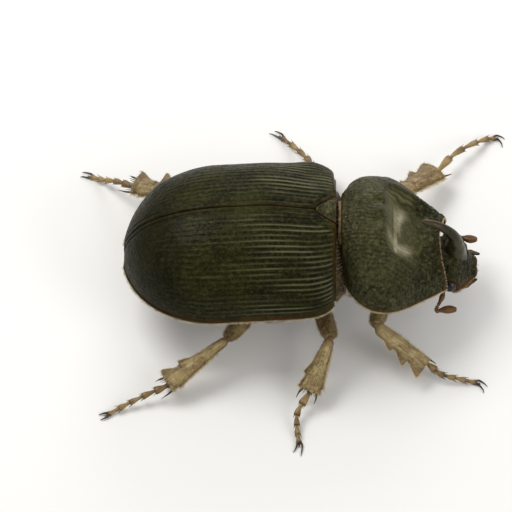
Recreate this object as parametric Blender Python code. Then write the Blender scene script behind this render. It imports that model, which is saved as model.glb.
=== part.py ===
"""European rhinoceros beetle (Oryctes nasicornis), male, life size.

A still model of a living beetle that stands on its six feet. The beetle looks
along +X, its left side is +Y, and the floor is z = 0. Every length below is in
millimetres, and becomes metres when a mesh is made. Each body part is one
closed solid in an object of its own, and neighbours keep a thin gap.
"""

import math

import bmesh
import bpy
from mathutils import Matrix, Vector

# ---------------------------------------------------------------- dimensions
MM = 0.001
GAP = 0.05                # between neighbouring plates

ELYTRA_FRONT = 3.7        # x of the shoulder end of the wing cases
ELYTRA_TIP = -19.1        # x of their hind end
ELYTRA_HALF_WIDTH = 9.4
ELYTRA_HEIGHT = 8.3       # of the dome above the side margin
ELYTRA_WALL = 0.6
SIDE_MARGIN_Z = 7.9       # height of the side margin at x = -8
MARGIN_SLOPE = 0.09       # the body is carried a little higher in front
BELLY_DEPTH = 4.6         # of the belly below the side margin
DOME_POWER = 2.2          # of the rounded section of the back
BELLY_POWER = 1.8

PRONOTUM_HALF_WIDTH = 7.8
PRONOTUM_HEIGHT = 7.7
PRONOTUM_MARGIN_Z = 7.5
PRONOTUM_POWER = 2.4
HOLLOW_DEPTH = 2.7        # of the hollow in the front of the pronotum
HOLLOW_REAR = 8.7         # x where its steep rear wall begins
HOLLOW_HALF_WIDTH = 3.7
KNOB_HEIGHT = 0.45        # of the three knobs on the ridge behind the hollow
STERNUM_DEPTH = 4.1       # of the underside below the pronotum's margin

HEAD_FRONT = 18.95
HEAD_HALF_WIDTH = 3.4
EYE_RADIUS = 0.8
EYE_CENTRE = (15.95, 3.1, 6.0)
HORN_BASE_RADIUS = 1.05
HORN_TIP_RADIUS = 0.28

SCUTELLUM_LENGTH = 2.3
SCUTELLUM_HALF_WIDTH = 1.75

TARSUS_RADIUS = 0.36

RIGHT, LEFT = -1, 1

# Joints of each leg: hip, knee, ankle, then the run of the foot to its last
# segment. The left legs reach further out than the right ones.
LEGS = {
    "front_right": dict(
        hip=(8.9, -3.0, 3.1), knee=(7.95, -8.2, 5.7), ankle=(13.5, -10.5, 1.8),
        foot=((13.72, -10.68, 1.68), (15.0, -11.5, 1.2), (16.9, -11.75, 0.7), (18.7, -11.9, 0.2)),
        toes=((20.0, -12.4, 0.06), (19.6, -13.2, 0.06)), tooth=1.0),
    "front_left": dict(
        hip=(9.1, 3.0, 3.1), knee=(9.8, 8.75, 5.5), ankle=(14.8, 14.5, 2.25),
        foot=((15.0, 15.05, 2.12), (16.5, 17.0, 1.75), (18.4, 18.65, 1.35), (20.1, 20.0, 0.5), (21.0, 20.35, 0.18)),
        toes=((22.2, 20.3, 0.06), (21.9, 19.2, 0.06)), tooth=0.78),
    "middle_right": dict(
        hip=(1.9, -3.1, 2.9), knee=(3.1, -9.6, 5.3), ankle=(0.85, -14.35, 1.9),
        foot=((0.3, -14.7, 1.75), (-0.42, -16.4, 1.2), (-0.48, -18.2, 0.65), (-0.3, -19.7, 0.2)),
        toes=((-0.95, -20.9, 0.06), (-0.1, -21.4, 0.06)), tooth=1.2),
    "middle_left": dict(
        hip=(1.9, 3.1, 2.9), knee=(3.3, 9.5, 5.3), ankle=(1.5, 14.7, 2.05),
        foot=((1.4, 15.05, 1.92), (0.8, 16.5, 1.55), (-0.5, 18.45, 0.9), (-2.05, 20.4, 0.2)),
        toes=((-2.9, 21.4, 0.06), (-3.5, 21.1, 0.06)), tooth=1.6),
    "hind_right": dict(
        hip=(-4.9, -3.6, 2.8), knee=(-7.9, -9.6, 5.2), ankle=(-14.4, -13.45, 1.85),
        foot=((-14.75, -13.6, 1.72), (-16.7, -14.25, 1.3), (-18.9, -15.15, 0.7), (-20.7, -16.0, 0.2)),
        toes=((-21.8, -16.0, 0.06), (-21.6, -16.7, 0.06)), tooth=1.45),
    "hind_left": dict(
        hip=(-4.9, 3.6, 2.8), knee=(-10.3, 9.0, 4.9), ankle=(-18.3, 11.95, 3.05),
        foot=((-18.7, 12.25, 2.9), (-19.9, 13.15, 2.2), (-21.4, 14.4, 0.75), (-22.7, 15.2, 0.18)),
        toes=((-23.8, 15.9, 0.06), (-24.0, 15.3, 0.06)), tooth=2.4),
}

SHELL = ((0.030, 0.031, 0.012), 0.32)
SHIELD = ((0.045, 0.047, 0.018), 0.35)
UNDER = ((0.16, 0.085, 0.035), 0.45)
LIMB = ((0.32, 0.24, 0.11), 0.45)
FOOT = ((0.30, 0.20, 0.08), 0.45)
DARK = ((0.012, 0.010, 0.006), 0.15)
FEELER = ((0.22, 0.10, 0.04), 0.4)

# ------------------------------------------------------------------ helpers
for old in list(bpy.data.objects):
    bpy.data.objects.remove(old, do_unlink=True)

beetle = bpy.data.collections.new("rhinoceros_beetle")
cutters = bpy.data.collections.new("cutters")
bpy.context.scene.collection.children.link(beetle)
bpy.context.scene.collection.children.link(cutters)
solids = []


def clip(t, low=0.0, high=1.0):
    return max(low, min(high, t))


def ease(t):
    t = clip(t)
    return t * t * (3 - 2 * t)


def rounded_end(x, start, end, power):
    """1 at start, falling to 0 at end along a superellipse."""
    t = clip((x - start) / (end - start))
    return (1 - t ** power) ** (1 / power)


def spread(low, high, count):
    return [low + (high - low) * i / (count - 1) for i in range(count)]


def on_curve(points, t):
    """A point at 0 to 1 along a smooth curve through the points."""
    n = len(points) - 1
    i = min(int(t * n), n - 1)
    f = t * n - i
    p1, p2 = Vector(points[i]), Vector(points[i + 1])
    p0 = Vector(points[i - 1]) if i else 2 * p1 - p2
    p3 = Vector(points[i + 2]) if i + 2 <= n else 2 * p2 - p1
    return 0.5 * (2 * p1 + (p2 - p0) * f + (2 * p0 - 5 * p1 + 4 * p2 - p3) * f * f
                  + (3 * p1 - p0 - 3 * p2 + p3) * f * f * f)


def lofted(rings, closing=None):
    """A closed bmesh through rings of equal count, with its ends capped.

    closing holds the faces that close the last end, as places on its ring,
    where one face would not do.
    """
    bm = bmesh.new()
    loops = [[bm.verts.new(p) for p in ring] for ring in rings]
    count = len(rings[0])
    for a, b in zip(loops, loops[1:]):
        for i in range(count):
            j = (i + 1) % count
            bm.faces.new((a[i], a[j], b[j], b[i]))
    bm.faces.new(list(reversed(loops[0])))
    for face in closing or [range(count)]:
        bm.faces.new([loops[-1][k] for k in face])
    bmesh.ops.remove_doubles(bm, verts=bm.verts, dist=1e-5)
    bmesh.ops.recalc_face_normals(bm, faces=bm.faces)
    return bm


def spike(bm, near, *path, narrow=0.3):
    """Draws the face nearest a place out into a spine that follows a path."""
    bm.faces.ensure_lookup_table()
    near = Vector(near)
    face = min(bm.faces, key=lambda f: (f.calc_center_median() - near).length)
    bm.normal_update()
    facing, places = face.normal.copy(), [Vector(place) for place in path]
    for k, place in enumerate(places):
        drawn = bmesh.ops.extrude_discrete_faces(bm, faces=[face])["faces"][0]
        middle = drawn.calc_center_median()
        size = 1 - (1 - narrow) * (k + 1) / len(path)
        last = 1 - (1 - narrow) * k / len(path)
        ahead = (places[min(k + 1, len(path) - 1)] - middle).normalized()
        turn = facing.rotation_difference(ahead)
        for v in drawn.verts:
            v.co = place + turn @ (v.co - middle) * (size / last)
        face, facing = drawn, ahead


def made(name, bm, look, place=(0, 0, 0), smooth=35):
    """Puts a bmesh in the collection as one object with its own material."""
    place = Vector(place)
    bmesh.ops.recalc_face_normals(bm, faces=bm.faces)
    if bm.calc_volume(signed=True) < 0:
        bmesh.ops.reverse_faces(bm, faces=bm.faces)
    for v in bm.verts:
        v.co = (v.co - place) * MM
    mesh = bpy.data.meshes.new(name)
    bm.to_mesh(mesh)
    bm.free()
    mesh.shade_smooth()
    mesh.set_sharp_from_angle(angle=math.radians(smooth))
    obj = bpy.data.objects.new(name, mesh)
    obj.location = place * MM
    material = bpy.data.materials.new("mat_" + name)
    material.use_nodes = True
    shader = material.node_tree.nodes["Principled BSDF"]
    shader.inputs["Base Color"].default_value = (*look[0], 1)
    shader.inputs["Roughness"].default_value = look[1]
    shader.inputs["Metallic"].default_value = 0.0
    mesh.materials.append(material)
    beetle.objects.link(obj)
    solids.append(obj)
    return obj


def tube(points, radii, sides, samples, flat=1.0, up=(0, 0, 1)):
    """Rings along a curve. radii is a function of 0 to 1; flat narrows one way."""
    rings = []
    for t in spread(0, 1, samples):
        here = on_curve(points, t)
        ahead = on_curve(points, min(1, t + 0.02)) - on_curve(points, max(0, t - 0.02))
        along = ahead.normalized()
        side = along.cross(Vector(up)).normalized()
        top = side.cross(along).normalized()
        r = radii(t)
        rings.append([here + side * (r * math.cos(a)) + top * (r * flat * math.sin(a))
                      for a in (2 * math.pi * (i + 0.5) / sides for i in range(sides))])
    return rings


# --------------------------------------------------------------- hind body
def margin_z(x):
    return SIDE_MARGIN_Z + MARGIN_SLOPE * (x + 8)


def back_half_width(x):
    return (ELYTRA_HALF_WIDTH * rounded_end(x, -9, ELYTRA_TIP - 0.1, 2.0)
            * rounded_end(x, -2, 4.6, 4.0))


def back_height(x):
    return (ELYTRA_HEIGHT * rounded_end(x, -8, ELYTRA_TIP - 0.1, 2.4)
            * (1 - 0.18 * ease((x + 5) / 8.7)))


def belly_depth(x):
    return (BELLY_DEPTH * rounded_end(x, -8, ELYTRA_TIP - 0.1, 2.0)
            * (1 - 0.2 * ease((x + 4) / 7.7)))


def scutellum_half_width(x):
    """0 behind the scutellum's tip."""
    return SCUTELLUM_HALF_WIDTH * clip((x - ELYTRA_FRONT + SCUTELLUM_LENGTH)
                                       / SCUTELLUM_LENGTH) ** 0.75


def dome(x, inset, count, y_end=0.0, shrink_x=0.0):
    """Points over one half of the back, from the side margin to y_end."""
    a = max(0.0, back_half_width(x - shrink_x) - inset)
    h = max(0.0, back_height(x - shrink_x) - inset)
    if min(a, h) < 0.05:
        return [(x, 0.0, margin_z(x))] * count
    last = math.acos(clip(y_end / a) ** (DOME_POWER / 2))
    return [(x, a * math.cos(t) ** (2 / DOME_POWER),
             margin_z(x) + h * math.sin(t) ** (2 / DOME_POWER))
            for t in spread(0, last, count)]


def under_arc(x, a, depth, count, top):
    """Points under the body, from its right side to its left one."""
    return [(x, -a * math.copysign(abs(math.cos(t)) ** (2 / BELLY_POWER), math.cos(t)),
             top - depth * math.sin(t) ** (2 / BELLY_POWER))
            for t in spread(0, math.pi, count)]


BACK_STATIONS = [3.7, 3.2, 2.4, 1.4, 0, -2, -4.5, -7, -9.5, -12, -14, -15.6,
                 -16.8, -17.7, -18.3, -18.7, -18.95]

for side, label in ((RIGHT, "right"), (LEFT, "left")):
    rings = []
    for x in BACK_STATIONS:
        edge = scutellum_half_width(x) + GAP / 2 + 0.03
        outer = dome(x, 0, 9, edge)
        inner = dome(x, ELYTRA_WALL, 9, edge, -0.35 if x < -9 else 0)
        if inner[0][1] == 0.0:
            inner = [(x, edge, margin_z(x))] * 9
        rings.append([(px, side * py, pz) for px, py, pz in outer + inner[::-1]])
    made("elytron_" + label, lofted(rings), SHELL, (-8, side * 5, 12))

# The scutellum fills the notch between the wing cases.
rings = []
for x in (3.7, 3.2, 2.6, 2.0, 1.65):
    w = scutellum_half_width(x) - GAP / 2
    a, h = back_half_width(x), back_height(x)
    across = spread(-w, w, 7)
    top = [(x, y, margin_z(x) + h * (1 - abs(y / a) ** DOME_POWER) ** (1 / DOME_POWER) + 0.02)
           for y in across]
    rings.append(top + [(x, y, z - 0.5) for _, y, z in reversed(top)])
made("scutellum", lofted(rings), SHIELD, (2.8, 0, 15))


def trunk_ring(x):
    """A ring of the body inside the wing cases, with a ledge under their rim."""
    upper = dome(x, ELYTRA_WALL + 0.12, 8, 0.0, -0.35 if x < -9 else 0)
    low = max(back_half_width(x) - 0.3, 0.2)
    half = [(px, py, pz) for px, py, pz in upper]
    top = half + [(px, -py, pz) for px, py, pz in reversed(half[:-1])]
    under = under_arc(x, low, belly_depth(x), 11, margin_z(x) - 0.12)
    return top + under


def scaled_ring(ring, x, width, up, down, level):
    """The ring moved to x and squeezed about a level."""
    return [(x, y * width, level + (z - level) * (up if z > level else down))
            for _, y, z in ring]


rings = [trunk_ring(x) for x in (-4.5, -2.5, -0.5, 1.4, 2.4, 3.1, 3.5)]
rings.append(scaled_ring(rings[-1], 3.55, 0.60, 0.66, 0.66, 9.2))
rings.append(scaled_ring(rings[-2], 3.98, 0.58, 0.62, 0.62, 9.2))
made("thorax_under", lofted(rings), UNDER, (0, 0, 8))
rings = [trunk_ring(x) for x in (-4.6, -7, -9.5, -12, -14, -15.4, -16.4)]
made("abdomen", lofted(rings), UNDER, (-10, 0, 8))
rings = [trunk_ring(x) for x in (-16.5, -17.1, -17.6, -18.0, -18.3)]
made("pygidium", lofted(rings), UNDER, (-17, 0, 7))


# ----------------------------------------------------------------- pronotum
def shield_half_width(x):
    front = 1 - 0.53 * clip((x - 9.3) / 6.2) ** 1.55
    return PRONOTUM_HALF_WIDTH * rounded_end(x, 8.5, 3.75, 2.3) * front


def shield_height(x):
    return (PRONOTUM_HEIGHT - 4.8 * clip((x - 9) / 6.2) ** 1.3) \
        * (1 - 0.2 * clip((8 - x) / 4) ** 2.5)


def shield_margin_z(x):
    return PRONOTUM_MARGIN_Z + 1.3 * ease((9 - x) / 5) - 0.45 * ease((x - 9) / 5)


def hollow(x, y):
    along = ease((x - HOLLOW_REAR) / 1.9) * (1 - 0.9 * ease((x - 11.6) / 3.4))
    across = 1 - ease((abs(y) - HOLLOW_HALF_WIDTH + 0.9) / 2.0)
    return HOLLOW_DEPTH * along * across


def knobs(x, y):
    return sum(KNOB_HEIGHT * size * math.exp(-((x - 8.35) / 0.75) ** 2 - ((y - at) / 0.75) ** 2)
               for at, size in ((-2.3, 0.8), (0, 1.0), (2.3, 0.8)))


def shield_top(x, t):
    a, h = shield_half_width(x), shield_height(x)
    y = a * math.copysign(abs(math.cos(t)) ** (2 / PRONOTUM_POWER), math.cos(t))
    z = shield_margin_z(x) + h * math.sin(t) ** (2 / PRONOTUM_POWER)
    bent = 0.75 * ease((x - 12.5) / 2.4) * (y / a) ** 2
    return (x + bent, y, z - hollow(x, y) + knobs(x, y))


SHIELD_STATIONS = [4.05, 4.5, 5.2, 6.4, 7.6, 8.35, 9.0, 9.7, 10.6, 11.6, 12.6, 13.6, 14.3, 14.9]
rings = []
for x in SHIELD_STATIONS:
    top = [shield_top(x, t) for t in spread(0, math.pi, 21)]
    base = shield_margin_z(x) - 0.3
    low = [(px, py * 0.97, base) for px, py, _ in (top[-1], top[-5], top[-8], top[10], top[7], top[4], top[0])]
    rings.append(top + low)
facing = [(0, 27), (4, 26), (7, 25), (10, 24), (13, 23), (16, 22), (20, 21)]
strips = [list(range(i, j + 1)) + [low_j, low_i] for (i, low_i), (j, low_j) in zip(facing, facing[1:])]
made("pronotum", lofted(rings, strips), SHIELD, (9.5, 0, 10))


def sternum_ring(x, count=13):
    a = shield_half_width(x) * 0.93
    top = shield_margin_z(x) - 0.36
    depth = STERNUM_DEPTH * (1 - 0.35 * ease((7 - x) / 3)) * (1 - 0.3 * ease((x - 11.5) / 3.4))
    power = 1.35
    under = [(x, -a * math.copysign(abs(math.cos(t)) ** (2 / power), math.cos(t)),
              top - depth * math.sin(t) ** (2 / power)) for t in spread(0, math.pi, count)]
    return under + [(x, y, top) for y in spread(a * 0.6, -a * 0.6, 4)]


made("prosternum", lofted([sternum_ring(x) for x in (4.4, 5.4, 6.6, 8, 9.5, 11, 12.5, 13.8, 14.85)]),
     UNDER, (9.5, 0, 6))


def floor_of_body(x, y):
    """The lowest z of the body above a place, or None beside it."""
    if x > 4.2:
        a = shield_half_width(x) * 0.93
        top, power = shield_margin_z(x) - 0.36, 1.35
        depth = STERNUM_DEPTH * (1 - 0.35 * ease((7 - x) / 3)) * (1 - 0.3 * ease((x - 11.5) / 3.4))
    else:
        a, power = max(back_half_width(x) - 0.3, 0.2), BELLY_POWER
        top, depth = margin_z(x) - 0.12, belly_depth(x)
    if abs(y) >= a or x > 14.9:
        return None
    return top - depth * (1 - (abs(y) / a) ** power) ** (1 / power)


def below_body(rings, gap=0.06):
    """The rings, with what would reach into the body pressed flat under it."""
    pressed = []
    for ring in rings:
        row = []
        for x, y, z in ring:
            limit = floor_of_body(x, y)
            if limit is not None and z > limit - gap:
                z = limit - gap
            row.append((x, y, z))
        pressed.append(row)
    return pressed


# --------------------------------------------------------------------- head
def head_half_width(x):
    return HEAD_HALF_WIDTH * (1 - 0.05 * ease((16 - x) / 1)) * (1 - 0.62 * ease((x - 16.4) / 2.6))


def head_middle(x):
    return 5.85 - 1.0 * ease((x - 16.4) / 2.6)


def head_up(x):
    return 2.25 - 1.65 * ease((x - 16.6) / 2.3)


def head_down(x):
    return 2.1 - 1.55 * ease((x - 16.2) / 2.6)


def head_surface(x, y, upper=True):
    a = head_half_width(x)
    reach = head_up(x) if upper else -head_down(x)
    return head_middle(x) + reach * max(0.0, 1 - abs(y / a) ** 2.3) ** (1 / 2.3)


rings = []
for x in (15.02, 15.75, 16.3, 16.9, 17.5, 18.1, 18.6, 18.95):
    a, ring = head_half_width(x), []
    for i in range(20):
        t = 2 * math.pi * i / 20
        c, s = math.cos(t), math.sin(t)
        y = a * math.copysign(abs(c) ** (2 / 2.3), c)
        reach = (head_up(x) if s > 0 else head_down(x)) * abs(s) ** (2 / 2.3)
        back = 0.06 + 0.75 * (y / 4.1) ** 2 if x < 15.1 else 0.0
        ring.append((x + back, y, head_middle(x) + math.copysign(reach, s)))
    rings.append(ring)
head = made("head", lofted(rings), SHIELD, (16.5, 0, 6))

for side, label in ((RIGHT, "right"), (LEFT, "left")):
    at = Vector((EYE_CENTRE[0], side * EYE_CENTRE[1], EYE_CENTRE[2]))
    for grow, cuts in ((0.06, True), (0.0, False)):
        bm = bmesh.new()
        bmesh.ops.create_uvsphere(bm, u_segments=12, v_segments=8,
                                  radius=EYE_RADIUS + grow, matrix=Matrix.Translation(at))
        ball = made("socket_" + label if cuts else "eye_" + label, bm, DARK, at)
        if cuts:
            solids.remove(ball)
            beetle.objects.unlink(ball)
            cutters.objects.link(ball)
            ball.hide_render = True
            ball.display_type = "WIRE"
            cut = head.modifiers.new("socket_" + label, "BOOLEAN")
            cut.operation, cut.solver, cut.object = "DIFFERENCE", "EXACT", ball

HORN = ((16.4, 0, 7.8), (16.6, 0, 9.1), (16.4, 0, 10.4), (15.6, 0, 11.75), (14.4, 0, 12.8), (12.9, 0, 13.4))
rings = tube(HORN, lambda t: HORN_BASE_RADIUS + (HORN_TIP_RADIUS - HORN_BASE_RADIUS) * t ** 0.8,
             12, 11, 0.95, (1, 0, 0))
rings[0] = [(x, y, head_surface(x, 0) + 0.26) for x, y, _ in rings[0]]
made("horn", lofted(rings), SHELL, (16.2, 0, 8))

# Mandibles under the front of the head, and the palps behind them.
for side, label, reach in ((RIGHT, "right", 1.05), (LEFT, "left", 2.2)):
    path = [(16.9, side * 1.8, 4.0), (17.9, side * (reach + 0.4), 3.95), (18.95 if side == RIGHT else 19.25, side * reach, 4.15)]
    rings = tube(path, lambda t: 0.46 - 0.08 * t ** 3, 8, 5, 0.85)
    rings = [[(x, y, min(z, head_surface(x, y, False) - 0.06) if abs(y) < head_half_width(x) and x < HEAD_FRONT else z)
              for x, y, z in ring] for ring in rings]
    made("mandible_" + label, lofted(rings), SHELL, path[0])
    path = [(16.3, side * 0.9, 3.35), (17.2, side * 1.2, 3.0), (18.1, side * 1.0, 2.9)]
    rings = tube(path, lambda t: 0.28 + 0.06 * math.sin(math.pi * t), 6, 5)
    made("palp_" + label, lofted(rings), FEELER, path[0])

FEELERS = {
    "right": (((15.35, -3.08, 4.6), (14.95, -4.1, 4.4), (14.5, -5.1, 4.25), (14.75, -5.4, 4.2)),
              ((14.95, -5.2, 4.2), (15.8, -5.1, 4.2), (16.7, -5.1, 4.2))),
    "left": (((16.25, 3.2, 4.75), (16.6, 3.8, 4.6), (16.95, 4.2, 4.42), (17.22, 4.3, 4.3)),
             ((17.42, 4.3, 4.2), (18.2, 4.15, 4.2), (19.0, 4.1, 4.2))),
}
for label, (stalk, club) in FEELERS.items():
    rings = tube(stalk, lambda t: 0.27 + 0.03 * math.sin(9 * t), 6, 9)
    made("antenna_" + label, lofted(rings), FEELER, stalk[0])
    rings = tube(club, lambda t: 0.25 + 0.26 * math.sin(math.pi * clip(t * 0.93 + 0.05)) ** 0.6, 8, 7, 0.9)
    made("antenna_club_" + label, lofted(rings), FEELER, club[0])


# --------------------------------------------------------------------- legs
def frame_of(start, end, up=(0, 0, 1)):
    """Length, axis, flat side and thin side of a limb segment."""
    start, end = Vector(start), Vector(end)
    along = (end - start).normalized()
    flat = along.cross(Vector(up)).normalized()
    return (end - start).length, start, along, flat, flat.cross(along).normalized()


def limb(start, end, wide, thick, sides, stations, up=(0, 0, 1), begin=0.0, stop=1.0):
    """Flattened rings. wide gives the reach to either flat side at 0 to 1."""
    length, origin, along, flat, thin = frame_of(start, end, up)
    rings = []
    for t in stations:
        fore, rear = wide(t)
        h = thick(t)
        middle = origin + along * (length * (begin + (stop - begin) * t))
        ring = []
        for i in range(sides):
            a = 2 * math.pi * (i + 0.5) / sides
            c, s = math.cos(a), math.sin(a)
            ring.append(middle + flat * ((fore if c > 0 else rear) * c) + thin * (h * s))
        rings.append(ring)
    return rings


def local(start, end, t, across, high=0.0, up=(0, 0, 1)):
    """A place beside a limb, in the limb's own directions."""
    length, origin, along, flat, thin = frame_of(start, end, up)
    return origin + along * (length * t) + flat * across + thin * high


def on_floor(bm):
    """Feet end in small flats at floor level."""
    for v in bm.verts:
        v.co.z = max(v.co.z, 0.0)
    bmesh.ops.triangulate(bm, faces=bm.faces)
    bm.faces.sort(key=lambda face: -face.calc_area())


for name, leg in LEGS.items():
    side = RIGHT if name.endswith("right") else LEFT
    hip, knee, ankle = leg["hip"], leg["knee"], leg["ankle"]
    which = name.split("_")[0]
    # The toothed edge is the front one of the front legs, the rear one of the
    # middle legs and the left one of the hind legs.
    outer = 1 if which == "hind" else -side

    # coxa: a rounded block under the body, in front of the hip
    half = {"front": (1.2, 1.38, 1.0), "middle": (1.2, 1.5, 0.95), "hind": (1.3, 1.68, 0.9)}[which]
    middle = Vector(hip) + Vector((0.15, -side * (half[1] + 0.12), 0))
    middle.z = floor_of_body(middle.x, middle.y) - 0.6 * half[2]
    rings = []
    for t in spread(-0.97, 0.97, 7):
        r = math.sqrt(1 - t * t)
        rings.append([(middle.x + half[0] * r * math.cos(a), middle.y + half[1] * t,
                       middle.z + half[2] * r * math.sin(a))
                      for a in (2 * math.pi * i / 10 for i in range(10))])
    made("coxa_" + name, lofted(below_body(rings)), UNDER, middle)

    # femur: a flattened spindle from the hip to the knee
    wide = {"front": 0.85, "middle": 0.95, "hind": 0.95}[which]

    def swell(t, w=wide):
        r = w * (0.42 + 0.58 * math.sin(math.pi * clip(0.08 + 0.8 * t)) ** 0.8)
        r *= 0.55 if t in (0.0, 1.0) else 1.0
        return r, r

    reach = (Vector(knee) - Vector(hip)).length
    rings = limb(hip, knee, swell,
                 lambda t: (0.5 + 0.3 * math.sin(math.pi * t)) * (0.55 if t in (0.0, 1.0) else 1.0), 8,
                 (0.0, 0.05, 0.22, 0.42, 0.62, 0.8, 0.93, 1.0), (0, 0, 1), 0.02, 1 - 0.28 / reach)
    made("femur_" + name, lofted(below_body(rings)), LIMB, hip)

    # tibia: widens to a toothed end
    if which == "front":
        def blade(t):
            edge, inner = (0.75 + 0.6 * t, 0.85 + 0.4 * t) if side == LEFT else (0.9 + 0.5 * t, 0.75 - 0.15 * t)
            if t == 0.0:
                edge, inner = 0.3, 0.3
            return (edge, inner) if outer > 0 else (inner, edge)
        stations, flatness = (0, 0.06, 0.24, 0.42, 0.55, 0.68, 0.8, 0.9, 1), 0.42
    else:
        def blade(t):
            r = 0.56 + (0.62 if which == "hind" else 0.56) * ease(t * 1.1)
            inner = 0.56 + (0.36 if which == "hind" else 0.5) * ease(t * 1.1)
            if t == 0.0:
                r = inner = 0.3
            return (r, inner) if outer > 0 else (inner, r)
        stations, flatness = (0, 0.06, 0.3, 0.46, 0.62, 0.74, 0.86, 0.94, 1), 0.5
    # The blade of a front tibia lies level; the others turn their wide side up.
    tilt = (0, 0, 1)
    rings = limb(knee, ankle, blade, lambda t: (flatness + 0.12 * t) * (0.6 if t == 0.0 else 1.0), 8, stations,
                 tilt, 0.31 / (Vector(ankle) - Vector(knee)).length, 0.99)
    bm = lofted(rings)
    if which == "front":
        for at, far, back in ((0.33, 1.6, 0.38), (0.57, 2.2, 0.67), (0.82, 2.25, 0.95)):
            far *= leg["tooth"]
            spike(bm, local(knee, ankle, at, outer * 1.1),
                  local(knee, ankle, (at + back) / 2, outer * (far + 1.15) / 2),
                  local(knee, ankle, back, outer * far), narrow=0.6)
        spike(bm, local(knee, ankle, 0.93, -outer * (0.85 if side == LEFT else 0.5)),
              local(knee, ankle, 1.13, -outer * (1.2 if side == LEFT else 0.65)), narrow=0.5)
    else:
        r = 1.0 if which == "middle" else 1.1
        second = {"middle": (0.8, 1.2), "hind": (0.8, 2.0) if side == LEFT else (0.86, 1.85)}[which]
        for at, far in ((0.48 if name == "hind_left" else 0.54, leg["tooth"]), second):
            spike(bm, local(knee, ankle, at, outer * r * 0.9),
                  local(knee, ankle, at + 0.16, outer * far), narrow=0.25)
        spike(bm, local(knee, ankle, 0.68, -outer * 0.75),
              local(knee, ankle, 0.86, -outer * 1.15), narrow=0.3)
        ends = ((outer, 1.17, 1.2), (-outer, 1.16, 0.9))
        if which == "hind":
            ends = ((outer, 1.1, 1.35), (-outer, 1.17, 0.75))
        for across, far, out in ends:
            root = r * 0.9 if across == outer else 0.78
            spike(bm, local(knee, ankle, 0.97, across * root),
                  local(knee, ankle, (0.97 + far) / 2 + 0.01, across * (root + out) / 2 * 1.04),
                  local(knee, ankle, far, across * out), narrow=0.3)
    made("tibia_" + name, bm, LIMB, knee)

    # tarsus: five joints that taper to the last one, which carries two claws
    path = [Vector(p) for p in leg["foot"]]
    path[0] = Vector(ankle) + (path[1] - Vector(ankle)).normalized() * 0.08
    start = on_curve(path, 0.03)
    rings, joints = [], 5
    stations = []
    for k in range(joints):
        a, b = k / joints, (k + 1) / joints
        if k == joints - 1:
            stations += [(a + 0.005, 0.62), (a + 0.11, 0.78), (0.97, 0.98), (1.0, 0.9)]
        else:
            stations += [(a + 0.005, 0.70), (a + 0.14, 1.0), (b - 0.012, 1.08)]
    stations[0] = (0.0, 0.6)
    for t, size in stations:
        here = on_curve(path, t)
        along = (on_curve(path, min(1, t + 0.03)) - on_curve(path, max(0, t - 0.03))).normalized()
        flat = along.cross(Vector((0, 0, 1))).normalized()
        thin = flat.cross(along)
        r = TARSUS_RADIUS * size
        rings.append([here + flat * (r * math.cos(a)) + thin * (r * 0.95 * math.sin(a))
                      for a in (2 * math.pi * i / 6 for i in range(6))])
    bm = lofted(rings, [(0, 1, 5), (1, 2, 4, 5), (2, 3, 4)])
    tip = Vector(path[-1])
    ahead = (tip - on_curve(path, 0.93)).normalized()
    flat = ahead.cross(Vector((0, 0, 1))).normalized()
    for toe in leg["toes"]:
        toe = Vector(toe)
        turn = 1 if (toe - tip).dot(flat) > sum((Vector(o) - tip).dot(flat) for o in leg["toes"]) / 2 else -1
        root = tip + ahead * 0.05 + flat * (turn * TARSUS_RADIUS * 0.62)
        bow = tip + ahead * 0.42 + flat * (turn * TARSUS_RADIUS * 0.9) + Vector((0, 0, 0.08))
        near_toe = (bow + toe) / 2 + ahead * 0.12 + Vector((0, 0, 0.03))
        spike(bm, root, bow, near_toe, toe, narrow=0.4)
    on_floor(bm)
    made("tarsus_" + name, bm, FOOT, start)

# ------------------------------------------------- origin at the base's centre
# The frame's origin lies on the floor under the middle of the whole model.
low, high = [1e9] * 3, [-1e9] * 3
bpy.context.view_layer.update()
for obj in solids:
    for corner in obj.bound_box:
        place = obj.matrix_world @ Vector(corner)
        for k in range(3):
            low[k], high[k] = min(low[k], place[k]), max(high[k], place[k])
body = bpy.data.objects.new("beetle_frame", None)
beetle.objects.link(body)
body.location = (-(low[0] + high[0]) / 2, -(low[1] + high[1]) / 2, -low[2])
for obj in solids + list(cutters.objects):
    obj.parent = body
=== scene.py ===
"""Looks of the European rhinoceros beetle (Oryctes nasicornis), male, life size.

A still model standing on its six feet, head towards +X, its left side +Y.
Lengths are in millimetres in the beetle's own frame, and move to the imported
frame when a mesh is made. Every hard part is a piece of its own; the hairs are
solid tapered strands gathered in small tufts.
"""

import math

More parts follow.
